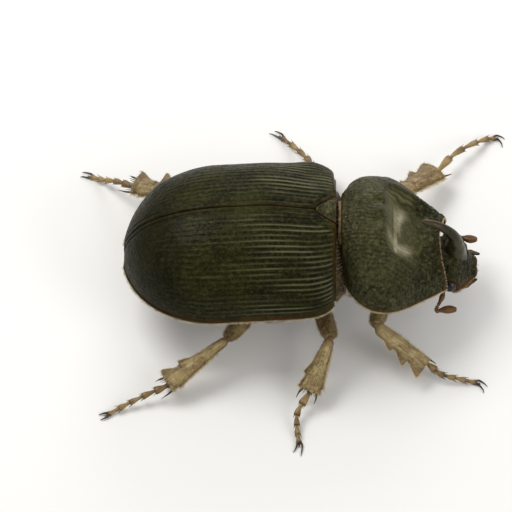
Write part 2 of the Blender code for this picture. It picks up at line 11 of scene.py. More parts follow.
import bmesh
import bpy
import numpy as np
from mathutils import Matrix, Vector


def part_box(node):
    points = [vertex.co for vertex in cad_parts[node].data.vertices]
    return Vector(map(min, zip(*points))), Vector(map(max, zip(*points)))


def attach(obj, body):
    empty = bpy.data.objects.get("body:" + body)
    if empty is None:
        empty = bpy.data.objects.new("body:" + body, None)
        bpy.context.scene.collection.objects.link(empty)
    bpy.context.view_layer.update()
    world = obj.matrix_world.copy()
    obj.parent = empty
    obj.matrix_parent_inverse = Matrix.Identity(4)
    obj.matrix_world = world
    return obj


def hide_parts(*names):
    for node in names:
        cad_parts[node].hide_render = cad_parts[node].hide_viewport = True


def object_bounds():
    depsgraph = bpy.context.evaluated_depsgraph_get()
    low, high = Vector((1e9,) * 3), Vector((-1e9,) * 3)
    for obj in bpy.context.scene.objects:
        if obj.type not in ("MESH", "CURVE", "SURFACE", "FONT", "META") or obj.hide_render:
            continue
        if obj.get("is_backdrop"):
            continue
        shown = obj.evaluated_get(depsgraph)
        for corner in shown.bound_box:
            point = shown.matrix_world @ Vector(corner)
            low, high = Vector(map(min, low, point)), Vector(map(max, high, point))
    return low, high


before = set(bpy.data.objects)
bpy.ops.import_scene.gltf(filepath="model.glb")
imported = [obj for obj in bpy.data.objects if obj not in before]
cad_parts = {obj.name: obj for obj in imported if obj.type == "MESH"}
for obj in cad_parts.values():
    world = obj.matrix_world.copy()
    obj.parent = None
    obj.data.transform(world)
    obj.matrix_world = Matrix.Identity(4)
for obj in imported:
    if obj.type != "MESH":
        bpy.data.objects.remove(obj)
cad_low, cad_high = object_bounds()

# ------------------------------------------------------------- shared sizes
MM = 0.001
GAP = 0.05
ELYTRA_FRONT = 3.7
ELYTRA_TIP = -19.1
ELYTRA_HALF_WIDTH = 9.4
ELYTRA_HEIGHT = 8.3
ELYTRA_WALL = 0.6
SIDE_MARGIN_Z = 7.9
MARGIN_SLOPE = 0.09
BELLY_DEPTH = 4.6
DOME_POWER = 2.2
BELLY_POWER = 1.8

PRONOTUM_HALF_WIDTH = 7.8
PRONOTUM_HEIGHT = 7.7
PRONOTUM_MARGIN_Z = 7.5
PRONOTUM_POWER = 2.4
HOLLOW_DEPTH = 2.7
HOLLOW_REAR = 8.7
HOLLOW_HALF_WIDTH = 3.7
KNOB_HEIGHT = 0.45
STERNUM_DEPTH = 4.1

HEAD_FRONT = 18.95
HEAD_HALF_WIDTH = 3.4
EYE_RADIUS = 0.8
EYE_CENTRE = np.array((15.95, 3.1, 6.0))
HORN_BASE_RADIUS = 1.05
HORN_TIP_RADIUS = 0.28

SCUTELLUM_LENGTH = 2.3
SCUTELLUM_HALF_WIDTH = 1.75

TARSUS_RADIUS = 0.31

RIGHT, LEFT = -1, 1
SIDES = ((RIGHT, "right"), (LEFT, "left"))

LEGS = {
    "front_right": dict(
        hip=(8.9, -3.0, 3.1), knee=(7.95, -8.2, 5.7), ankle=(13.5, -10.5, 1.8),
        foot=((13.72, -10.68, 1.68), (15.0, -11.5, 1.2), (16.9, -11.75, 0.7), (18.7, -11.9, 0.2)),
        toes=((20.0, -12.4, 0.06), (19.6, -13.2, 0.06)), tooth=1.0),
    "front_left": dict(
        hip=(9.1, 3.0, 3.1), knee=(9.8, 8.75, 5.5), ankle=(14.8, 14.5, 2.25),
        foot=((15.0, 15.05, 2.12), (16.5, 17.0, 1.75), (18.4, 18.65, 1.35), (20.1, 20.0, 0.5), (21.0, 20.35, 0.18)),
        toes=((22.2, 20.3, 0.06), (21.9, 19.2, 0.06)), tooth=0.78),
    "middle_right": dict(
        hip=(1.9, -3.1, 2.9), knee=(3.1, -9.6, 5.3), ankle=(0.85, -14.35, 1.9),
        foot=((0.3, -14.7, 1.75), (-0.42, -16.4, 1.2), (-0.48, -18.2, 0.65), (-0.3, -19.7, 0.2)),
        toes=((-0.95, -20.9, 0.06), (-0.1, -21.4, 0.06)), tooth=1.2),
    "middle_left": dict(
        hip=(1.9, 3.1, 2.9), knee=(3.3, 9.5, 5.3), ankle=(1.5, 14.7, 2.05),
        foot=((1.4, 15.05, 1.92), (0.8, 16.5, 1.55), (-0.5, 18.45, 0.9), (-2.05, 20.4, 0.2)),
        toes=((-2.9, 21.4, 0.06), (-3.5, 21.1, 0.06)), tooth=1.6),
    "hind_right": dict(
        hip=(-4.9, -3.6, 2.8), knee=(-7.9, -9.6, 5.2), ankle=(-14.4, -13.45, 1.85),
        foot=((-14.75, -13.6, 1.72), (-16.7, -14.25, 1.3), (-18.9, -15.15, 0.7), (-20.7, -16.0, 0.2)),
        toes=((-21.8, -16.0, 0.06), (-21.6, -16.7, 0.06)), tooth=1.45),
    "hind_left": dict(
        hip=(-4.9, 3.6, 2.8), knee=(-10.3, 9.0, 4.9), ankle=(-18.3, 11.95, 3.05),
        foot=((-18.7, 12.25, 2.9), (-19.9, 13.15, 2.2), (-21.4, 14.4, 0.75), (-22.7, 15.2, 0.18)),
        toes=((-23.8, 15.9, 0.06), (-24.0, 15.3, 0.06)), tooth=2.4),
}

# The beetle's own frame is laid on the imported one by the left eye's centre.
eye_low, eye_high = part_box("eye_left")
OFFSET = (np.array(eye_low) + np.array(eye_high)) / 2 / MM - EYE_CENTRE
OFFSET[2] = 0.0

# ------------------------------------------------------------------ numbers


def clip(t, low=0.0, high=1.0):
    return np.clip(t, low, high)


def ease(t):
    t = clip(t)
    return t * t * (3 - 2 * t)


def rounded_end(x, start, end, power):
    t = clip((x - start) / (end - start))
    return clip(1 - t ** power) ** (1 / power)


def signed_power(c, p):
    return np.sign(c) * np.abs(c) ** p


def curve(points, t):
    """Places at 0 to 1 along a smooth curve through the points."""
    points = np.asarray(points, float)
    t = np.atleast_1d(np.asarray(t, float))
    n = len(points) - 1
    i = np.minimum((t * n).astype(int), n - 1)
    f = (t * n - i)[:, None]
    ext = np.vstack([2 * points[0] - points[1], points, 2 * points[-1] - points[-2]])
    p0, p1, p2, p3 = ext[i], ext[i + 1], ext[i + 2], ext[i + 3]
    return 0.5 * (2 * p1 + (p2 - p0) * f + (2 * p0 - 5 * p1 + 4 * p2 - p3) * f ** 2
                  + (3 * p1 - p0 - 3 * p2 + p3) * f ** 3)


def unit(v):
    return v / np.maximum(np.linalg.norm(v, axis=-1, keepdims=True), 1e-12)


def noise(places, size, seed=0):
    """Smooth noise from -1 to 1, with bumps about size across."""
    q = np.asarray(places, float) / size + seed * 17.31 + 400.5
    base = np.floor(q).astype(np.int64)
    f = q - base
    f = f * f * (3 - 2 * f)
    total = 0.0
    for dx in (0, 1):
        for dy in (0, 1):
            for dz in (0, 1):
                k = ((base[..., 0] + dx) * 374761393 + (base[..., 1] + dy) * 668265263
                     + (base[..., 2] + dz) * 1442695041 + seed * 144665)
                k = ((k ^ (k >> 13)) * 1274126177) & 0x7FFFFFFF
                k = k ^ (k >> 15)
                value = (k & 0xFFFF) / 32767.5 - 1
                wx = f[..., 0] if dx else 1 - f[..., 0]
                wy = f[..., 1] if dy else 1 - f[..., 1]
                wz = f[..., 2] if dz else 1 - f[..., 2]
                total = total + value * wx * wy * wz
    return total


def normals(grid, wrap=False):
    du = np.gradient(grid, axis=0)
    dv = (np.roll(grid, -1, 1) - np.roll(grid, 1, 1)) if wrap else np.gradient(grid, axis=1)
    return unit(np.cross(du, dv))


def dent(field, grid, i, j, radius, depth, window):
    """Lowers the field in a round pit about one place of a grid."""
    n, m = field.shape
    a, b = max(0, i - window), min(n, i + window + 1)
    c, d = max(0, j - window), min(m, j + window + 1)
    far = ((grid[a:b, c:d] - grid[i, j]) ** 2).sum(-1) / radius ** 2
    field[a:b, c:d] -= depth * np.exp(-1.4 * far ** 1.5)


def scatter_pits(field, grid, rng, count, radius, depth, window, where=None):
    n, m = field.shape
    for i, j, r, d in zip(rng.integers(2, n - 2, count), rng.integers(2, m - 2, count),
                          rng.uniform(0.7, 1.3, count), rng.uniform(0.6, 1.2, count)):
        w = 1.0 if where is None else where[i, j]
        if w > 0.05:
            dent(field, grid, i, j, radius * r, depth * d * w, window)


def even_sections(rows, count):
    """Each row of places, taken again at equal distances along itself."""
    out = np.empty((len(rows), count, 3))
    for k, row in enumerate(rows):
        step = np.linalg.norm(np.diff(row, axis=0), axis=1)
        s = np.concatenate([[0], np.cumsum(step)])
        if s[-1] < 1e-6:
            out[k] = row[0]
            continue
        at = np.linspace(0, s[-1], count)
        for axis in range(3):
            out[k, :, axis] = np.interp(at, s, row[:, axis])
    return out


# ------------------------------------------------------------------- meshes
class Shape:
    """Vertices, faces and fields of one piece, gathered bit by bit."""

    def __init__(self):
        self.places, self.faces, self.count, self.fields = [], [], 0, {}

    def add(self, places, faces, **fields):
        places = np.asarray(places, float).reshape(-1, 3)
        for face in faces:
            block = np.asarray(face) + self.count
            self.faces += block.tolist()
        for name in set(self.fields) | set(fields):
            values = np.asarray(fields.get(name, np.zeros(len(places))), float).reshape(-1)
            kept = self.fields.setdefault(name, [np.zeros(self.count)])
            kept.append(values)
        self.places.append(places)
        self.count += len(places)
        return self


def quads(n, m, wrap=False):
    i = np.arange(n - 1)[:, None]
    j = np.arange(m if wrap else m - 1)[None, :]
    k = (j + 1) % m
    return np.stack(np.broadcast_arrays(i * m + j, i * m + k, (i + 1) * m + k, (i + 1) * m + j), -1).reshape(-1, 4)


def zipped(a, b):
    """Triangles between two rows of vertices with unlike counts."""
    faces, i, j, p, q = [], 0, 0, len(a) - 1, len(b) - 1
    while i < p or j < q:
        if j == q or (i < p and (i + 1) * q <= (j + 1) * p):
            faces.append((a[i], a[i + 1], b[j]))
            i += 1
        else:
            faces.append((a[i], b[j + 1], b[j]))
            j += 1
    return np.array(faces)


def plate(shape, outer, inner, **fields):
    """A closed plate between a fine outer grid and a coarse inner one."""
    n, m = outer.shape[:2]
    a, b = inner.shape[:2]
    start = n * m
    top = np.arange(n * m).reshape(n, m)
    low = start + np.arange(a * b).reshape(a, b)
    faces = [quads(n, m), quads(a, b) + start]
    for x, y in ((top[0], low[0]), (top[-1], low[-1]), (top[:, 0], low[:, 0]), (top[:, -1], low[:, -1])):
        faces.append(zipped(list(x), list(y)))
    full = {}
    for name, values in fields.items():
        full[name] = np.concatenate([np.asarray(values, float).reshape(-1), np.zeros(a * b)])
    return shape.add(np.concatenate([outer.reshape(-1, 3), inner.reshape(-1, 3)]), faces, **full)


def ringed(shape, rings, **fields):
    """A closed solid through rings, with its ends closed by fans."""
    n, m = rings.shape[:2]
    ends = np.array([rings[0].mean(0), rings[-1].mean(0)])
    j = np.arange(m)
    k = (j + 1) % m
    first = np.stack([np.full(m, n * m), k, j], -1)
    last = np.stack([np.full(m, n * m + 1), (n - 1) * m + j, (n - 1) * m + k], -1)
    full = {}
    for name, values in fields.items():
        v = np.broadcast_to(np.asarray(values, float), (n, m))
        full[name] = np.concatenate([v.reshape(-1), [v[0].mean(), v[-1].mean()]])
    return shape.add(np.concatenate([rings.reshape(-1, 3), ends]), [quads(n, m, True), first, last], **full)


def sweep(path, radius, sides=20, count=60, flat=1.0, up=(0, 0, 1), power=1.0, along=None):
    """Rings along a curve. radius and flat are numbers or functions of 0 to 1."""
    t = 0.5 - 0.5 * np.cos(np.pi * np.linspace(0, 1, count)) if along is None else along
    middle = curve(path, t)
    step = unit(curve(path, clip(t + 0.015)) - curve(path, clip(t - 0.015)))
    side = unit(np.cross(step, np.array(up, float)))
    top = np.cross(side, step)
    a = 2 * np.pi * (np.arange(sides) + 0.5) / sides
    r = (radius(t) if callable(radius) else np.full_like(t, radius))[:, None, None]
    f = (flat(t) if callable(flat) else np.full_like(t, flat))[:, None, None]
    return (middle[:, None] + side[:, None] * r * signed_power(np.cos(a), power)[None, :, None]
            + top[:, None] * r * f * signed_power(np.sin(a), power)[None, :, None])


def domed(t, start, end):
    """1 in the middle, falling round to 0 at both ends."""
    a = clip((start - t) / start) if start > 0 else 0.0 * t
    b = clip((t - 1 + end) / end) if end > 0 else 0.0 * t
    return np.sqrt(clip(1 - a * a, 0.0004, 1)) * np.sqrt(clip(1 - b * b, 0.0004, 1))


def ball(shape, centre, radii, detail=20, turn=None, **fields):
    a = np.linspace(0.03, np.pi - 0.03, detail)
    b = 2 * np.pi * np.arange(2 * detail) / (2 * detail)
    local = np.stack([np.cos(a)[:, None] + 0 * b, np.sin(a)[:, None] * np.cos(b),
                      np.sin(a)[:, None] * np.sin(b)], -1) * np.asarray(radii, float)
    if turn is not None:
        local = local @ np.asarray(turn, float)
    ringed(shape, local + np.asarray(centre, float), **fields)


def spine(shape, root, tip, r0, r1=0.02, bend=(0, 0, 0), sides=8, count=9, **fields):
    """A curved spine that narrows from root to tip."""
    root, tip = np.asarray(root, float), np.asarray(tip, float)
    middle = (root + tip) / 2 + np.asarray(bend, float)
    up = (0, 0, 1) if abs(unit(tip - root)[2]) < 0.9 else (1, 0, 0)
    rings = sweep([root, middle, tip], lambda t: (r0 + (r1 - r0) * t ** 0.85) * domed(t, 0, 0.04), sides, count, up=up)
    rings[..., 2] = np.maximum(rings[..., 2], 0.0)
    ringed(shape, rings, **fields)


def make(name, shape, material, nodes=(), sharp=60):
    mesh = bpy.data.meshes.new(name)
    places = (np.concatenate(shape.places) + OFFSET) * MM
    mesh.from_pydata(places.tolist(), [], shape.faces)
    bm = bmesh.new()
    bm.from_mesh(mesh)
    bmesh.ops.recalc_face_normals(bm, faces=bm.faces)
    bm.to_mesh(mesh)
    bm.free()
    mesh.shade_smooth()
    mesh.set_sharp_from_angle(angle=math.radians(sharp))
    for key, values in shape.fields.items():
        layer = mesh.attributes.new(key, "FLOAT", "POINT")
        layer.data.foreach_set("value", np.concatenate(values).astype(np.float32))
    mesh.materials.append(material)
    piece = bpy.data.objects.new(name, mesh)
    bpy.context.scene.collection.objects.link(piece)
    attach(piece, "root")
    if nodes:
        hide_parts(*nodes)
    return piece


# ---------------------------------------------------------------- materials
class Look:
    """One procedural material on the beetle's own coordinates."""

    def __init__(self, name):
        self.material = bpy.data.materials.new(name)
        self.material.use_nodes = True
        self.tree = self.material.node_tree
        self.shader = self.tree.nodes["Principled BSDF"]
        self.place = self.tree.nodes.new("ShaderNodeTexCoord").outputs["Object"]

    def node(self, kind, inputs=(), **settings):
        n = self.tree.nodes.new(kind)
        for key, value in settings.items():
            setattr(n, key, value)
        for key, value in dict(inputs).items():
            self.put(value, n.inputs[key])
        return n

    def put(self, value, socket):
        if isinstance(value, bpy.types.NodeSocket):
            self.tree.links.new(value, socket)
        else:
            socket.default_value = value

    def stretched(self, x, y, z):
        return self.node("ShaderNodeMapping", {"Vector": self.place, "Scale": (x, y, z)}).outputs[0]

    def noise(self, scale, detail=4.0, roughness=0.55, vector=None, distortion=0.0):
        return self.node("ShaderNodeTexNoise", {
            "Vector": vector or self.place, "Scale": scale, "Detail": detail,
            "Roughness": roughness, "Distortion": distortion}).outputs["Fac"]

    def cells(self, scale, vector=None, feature="F1", randomness=1.0):
        return self.node("ShaderNodeTexVoronoi", {
            "Vector": vector or self.place, "Scale": scale, "Randomness": randomness},
            feature=feature).outputs["Distance"]

    def ramp(self, value, low, high, out_low=0.0, out_high=1.0):
        return self.node("ShaderNodeMapRange", {
            "Value": value, "From Min": low, "From Max": high,
            "To Min": out_low, "To Max": out_high}, interpolation_type="SMOOTHSTEP").outputs[0]

    def math(self, kind, a, b=0.0):
        n = self.tree.nodes.new("ShaderNodeMath")
        n.operation = kind
        self.put(a, n.inputs[0])
        self.put(b, n.inputs[1])
        return n.outputs[0]

    def mix(self, factor, a, b, blend="MIX"):
        n = self.tree.nodes.new("ShaderNodeMix")
        n.data_type, n.blend_type = "RGBA", blend
        self.put(factor, n.inputs["Factor"])
        for value, socket in ((a, n.inputs[6]), (b, n.inputs[7])):
            self.put(value if isinstance(value, bpy.types.NodeSocket) else (*value, 1.0), socket)
        return n.outputs[2]

    def field(self, name):
        return self.node("ShaderNodeAttribute", attribute_name=name).outputs["Fac"]

    def bump(self, height, distance, strength=1.0, after=None):
        inputs = {"Height": height, "Distance": distance, "Strength": strength}
        if after is not None:
            inputs["Normal"] = after
        return self.node("ShaderNodeBump", inputs).outputs[0]

    def done(self, color, roughness, normal, coat=0.0, coat_roughness=0.2, specular=0.5, tint=(1, 1, 1)):
        self.put(color, self.shader.inputs["Base Color"])
        self.put(roughness, self.shader.inputs["Roughness"])
        self.put(normal, self.shader.inputs["Normal"])
        self.shader.inputs["Coat Weight"].default_value = coat
        self.shader.inputs["Coat Roughness"].default_value = coat_roughness
        self.shader.inputs["Specular IOR Level"].default_value = specular
        self.shader.inputs["Specular Tint"].default_value = (*tint, 1.0)
        return self.material


def shell_look(name, base, dark, light, red, streaks=1.0, roughness=(0.33, 0.50), coat=0.015,
               pit=3600, pit_depth=3e-5, grain=1.0, specular=0.085, ridge_highlight_tone=(0.19, 0.185, 0.095)):
    """Olive-black chitin: mottled and punctured, with painted shade in its pits, grooves and shaded parts, painted
    highlights on its ridges and in the pronotum's hollow, painted light on the hollow's wall, red on its rims.
    """
    k = Look(name)
    broad = k.ramp(k.noise(260, 5.0, 0.6), 0.35, 0.68)
    color = k.mix(broad, dark, base)
    fine = k.ramp(k.noise(2300, 4.0, 0.65), 0.42, 0.72)
    color = k.mix(k.math("MULTIPLY", fine, 0.55 * grain), color, light)
    if streaks:
        lines = k.ramp(k.noise(1.0, 3.0, 0.6, k.stretched(130, 2600, 2600), 0.4), 0.5, 0.75)
        color = k.mix(k.math("MULTIPLY", lines, 0.5 * streaks), color, light)
    # Punctures, grooves and seams are darkened: painted shade in the recesses.
    pits = k.ramp(k.cells(pit), 0.10, 0.42)
    color = k.mix(k.math("MULTIPLY", k.math("SUBTRACT", 1.0, pits), 0.55), color, dark)
    color = k.mix(k.math("MULTIPLY", k.field("deep"), 0.85), color, tuple(0.45 * c for c in dark))
    # Ridge tops are painted lighter: a painted highlight.
    color = k.mix(k.math("MULTIPLY", k.field("crest"), 0.6), color, ridge_highlight_tone)
    color = k.mix(k.math("MULTIPLY", k.field("rim"), 0.8), color, red)
    # The pronotum's hollow is painted lighter: painted light on its shaded rear wall and a painted reflection on its
    # floor.
    color = k.mix(k.math("MULTIPLY", k.field("tan"), 0.85), color, (0.150, 0.136, 0.062))
    # A painted highlight at the foot of the pronotum's hollow, which is also made glossier.
    color = k.mix(k.field("pale"), color, (0.50, 0.46, 0.31))
    color = k.mix(k.math("MULTIPLY", k.field("shade"), 0.6), color, dark)
    rough = k.ramp(k.noise(1500, 3.0), 0.3, 0.7, *roughness)
    rough = k.math("SUBTRACT", rough, k.math("MULTIPLY", k.field("pale"), 0.12))
    bumped = k.bump(pits, pit_depth, 0.8)
    bumped = k.bump(k.noise(7000, 3.0, 0.6), 1.2e-5, 0.5, bumped)
    if streaks:
        bumped = k.bump(k.noise(1.0, 2.0, 0.5, k.stretched(120, 3200, 3200)), 2e-5, 0.5 * streaks, bumped)
    return k.done(color, rough, bumped, coat, 0.18, specular, (1.0, 0.97, 0.72))


def limb_look(name, base, dark, light, roughness=(0.36, 0.52)):
    """Ochre chitin: dark brown at edges, teeth and joints, finely lined, with painted shade in its pits and seams."""
    k = Look(name)
    color = k.mix(k.ramp(k.noise(420, 5.0, 0.6), 0.32, 0.66), dark, base)
    color = k.mix(k.math("MULTIPLY", k.ramp(k.noise(1700, 4.0, 0.6), 0.48, 0.75), 0.35), color, light)
    lines = k.ramp(k.noise(3200, 2.0, 0.5, None, 1.2), 0.56, 0.74)
    color = k.mix(k.math("MULTIPLY", lines, 0.25), color, dark)
    lie = k.tree.nodes.new("ShaderNodeCombineXYZ")
    k.put(k.field("lie"), lie.inputs[0])
    k.put(k.field("across"), lie.inputs[1])
    fibres = k.ramp(k.noise(1.0, 4.0, 0.6, lie.outputs[0], 0.3), 0.46, 0.64)
    color = k.mix(k.math("MULTIPLY", fibres, 0.72), color, tuple(0.62 * c for c in dark))
    pale = k.ramp(k.noise(1.3, 3.0, 0.6, lie.outputs[0]), 0.52, 0.75)
    color = k.mix(k.math("MULTIPLY", pale, 0.5), color, light)
    color = k.mix(k.math("MULTIPLY", k.field("edge"), 0.85), color, tuple(0.62 * c for c in dark))
    # Pits and seams of the limbs and underside are darkened: painted shade in the recesses.
    color = k.mix(k.math("MULTIPLY", k.field("deep"), 0.7), color, tuple(0.4 * c for c in dark))
    rough = k.ramp(k.noise(1300, 3.0), 0.3, 0.7, *roughness)
    pits = k.ramp(k.cells(4200), 0.08, 0.38)
    bumped = k.bump(pits, 1.8e-5, 0.7)
    bumped = k.bump(fibres, 2.2e-5, 0.5, bumped)
    bumped = k.bump(k.noise(6000, 4.0, 0.6), 1.4e-5, 0.6, bumped)
    return k.done(color, rough, bumped, 0.04, 0.25, 0.35, (1.0, 0.95, 0.8))


def eye_look():
    k = Look("eye_facets")
    color = k.mix(k.ramp(k.noise(900, 3.0), 0.35, 0.7), (0.004, 0.003, 0.002), (0.030, 0.016, 0.008))
    bumped = k.bump(k.ramp(k.cells(16000, randomness=0.25), 0.0, 0.6, 1.0, 0.0), 1.0e-5, 0.5)
    return k.done(color, k.ramp(k.noise(2500, 2.0), 0.3, 0.7, 0.10, 0.2), bumped, 0.06, 0.08, 0.28)


def hair_look(name, root, tip):
    k = Look(name)
    color = k.mix(k.field("along"), root, tip)
    color = k.mix(k.math("MULTIPLY", k.ramp(k.noise(900, 3.0), 0.35, 0.7), 0.5), color, tuple(0.55 * c for c in root))
    bumped = k.bump(k.noise(9000, 2.0), 0.6e-5, 0.3)
    return k.done(color, k.ramp(k.noise(1800, 2.0), 0.3, 0.7, 0.38, 0.55), bumped, 0.0, 0.3)


DARK = (0.0048, 0.0046, 0.0012)
ELYTRON = shell_look("elytron_chitin", (0.0160, 0.0162, 0.0026), DARK, (0.054, 0.053, 0.016), (0.085, 0.032, 0.009), specular=0.065)
SHIELD = shell_look("shield_chitin", (0.0345, 0.0338, 0.0100), (0.0125, 0.0120, 0.0034), (0.108, 0.107, 0.048),
                    (0.09, 0.034, 0.010), streaks=0.0, pit=3000, pit_depth=4e-5, grain=1.35, ridge_highlight_tone=(0.125, 0.13, 0.07))
HEAD = shell_look("head_chitin", (0.034, 0.033, 0.0125), (0.0125, 0.0115, 0.0042), (0.098, 0.094, 0.046),
                  (0.075, 0.026, 0.009), streaks=0.0, pit=4200, pit_depth=3.5e-5)
HORN = shell_look("horn_chitin", (0.030, 0.026, 0.011), (0.007, 0.006, 0.002), (0.075, 0.068, 0.036),
                  (0.085, 0.030, 0.010), streaks=0.0, roughness=(0.26, 0.40), coat=0.10, pit=5200, pit_depth=1.2e-5, grain=0.6, specular=0.25)
UNDER = limb_look("underside_chitin", (0.115, 0.055, 0.022), (0.035, 0.014, 0.006), (0.21, 0.12, 0.05))
LIMB = limb_look("limb_chitin", (0.365, 0.280, 0.122), (0.145, 0.083, 0.027), (0.60, 0.50, 0.275))
FOOT = limb_look("foot_chitin", (0.30, 0.20, 0.076), (0.095, 0.047, 0.015), (0.52, 0.40, 0.195))
CLAW = limb_look("claw_chitin", (0.050, 0.024, 0.009), (0.012, 0.006, 0.003), (0.14, 0.075, 0.03), (0.2, 0.32))
JAW = limb_look("jaw_chitin", (0.042, 0.024, 0.011), (0.010, 0.006, 0.003), (0.12, 0.07, 0.032), (0.22, 0.36))
FEELER = limb_look("feeler_chitin", (0.20, 0.095, 0.034), (0.06, 0.024, 0.009), (0.36, 0.20, 0.085))
MEMBRANE = limb_look("joint_membrane", (0.070, 0.044, 0.019), (0.028, 0.015, 0.006), (0.16, 0.11, 0.05), (0.5, 0.65))
EYE = eye_look()
GOLD = hair_look("golden_hair", (0.46, 0.33, 0.15), (0.90, 0.74, 0.46))
PALE = hair_look("pale_hair", (0.56, 0.47, 0.28), (0.92, 0.85, 0.64))
RUST = hair_look("rust_hair", (0.19, 0.085, 0.028), (0.46, 0.25, 0.095))

# --------------------------------------------------------------- hind body


def margin_z(x):
    return SIDE_MARGIN_Z + MARGIN_SLOPE * (x + 8)


def back_half_width(x):
    return (ELYTRA_HALF_WIDTH * rounded_end(x, -9, ELYTRA_TIP - 0.1, 2.0)
            * rounded_end(x, -2, 4.6, 4.0))


def back_height(x):
    return (ELYTRA_HEIGHT * rounded_end(x, -8, ELYTRA_TIP - 0.1, 2.4)
            * (1 - 0.18 * ease((x + 5) / 8.7)))


def belly_depth(x):
    return (BELLY_DEPTH * rounded_end(x, -8, ELYTRA_TIP - 0.1, 2.0)
            * (1 - 0.2 * ease((x + 4) / 7.7)))


def scutellum_half_width(x):
    return SCUTELLUM_HALF_WIDTH * clip((x - ELYTRA_FRONT + SCUTELLUM_LENGTH) / SCUTELLUM_LENGTH) ** 0.75


def back_section(x, inset, y_end, count=320):
    """The back at x, from the side margin up to y_end from the middle."""
    a = max(0.05, float(back_half_width(x)) - inset)
    h = max(0.05, float(back_height(x)) - inset)
    last = math.acos(min(1.0, max(0.0, y_end / a)) ** (DOME_POWER / 2))
    t = np.linspace(0, last, count)
    return np.stack([np.full(count, x), a * np.cos(t) ** (2 / DOME_POWER),
                     margin_z(x) + h * np.sin(t) ** (2 / DOME_POWER)], -1)


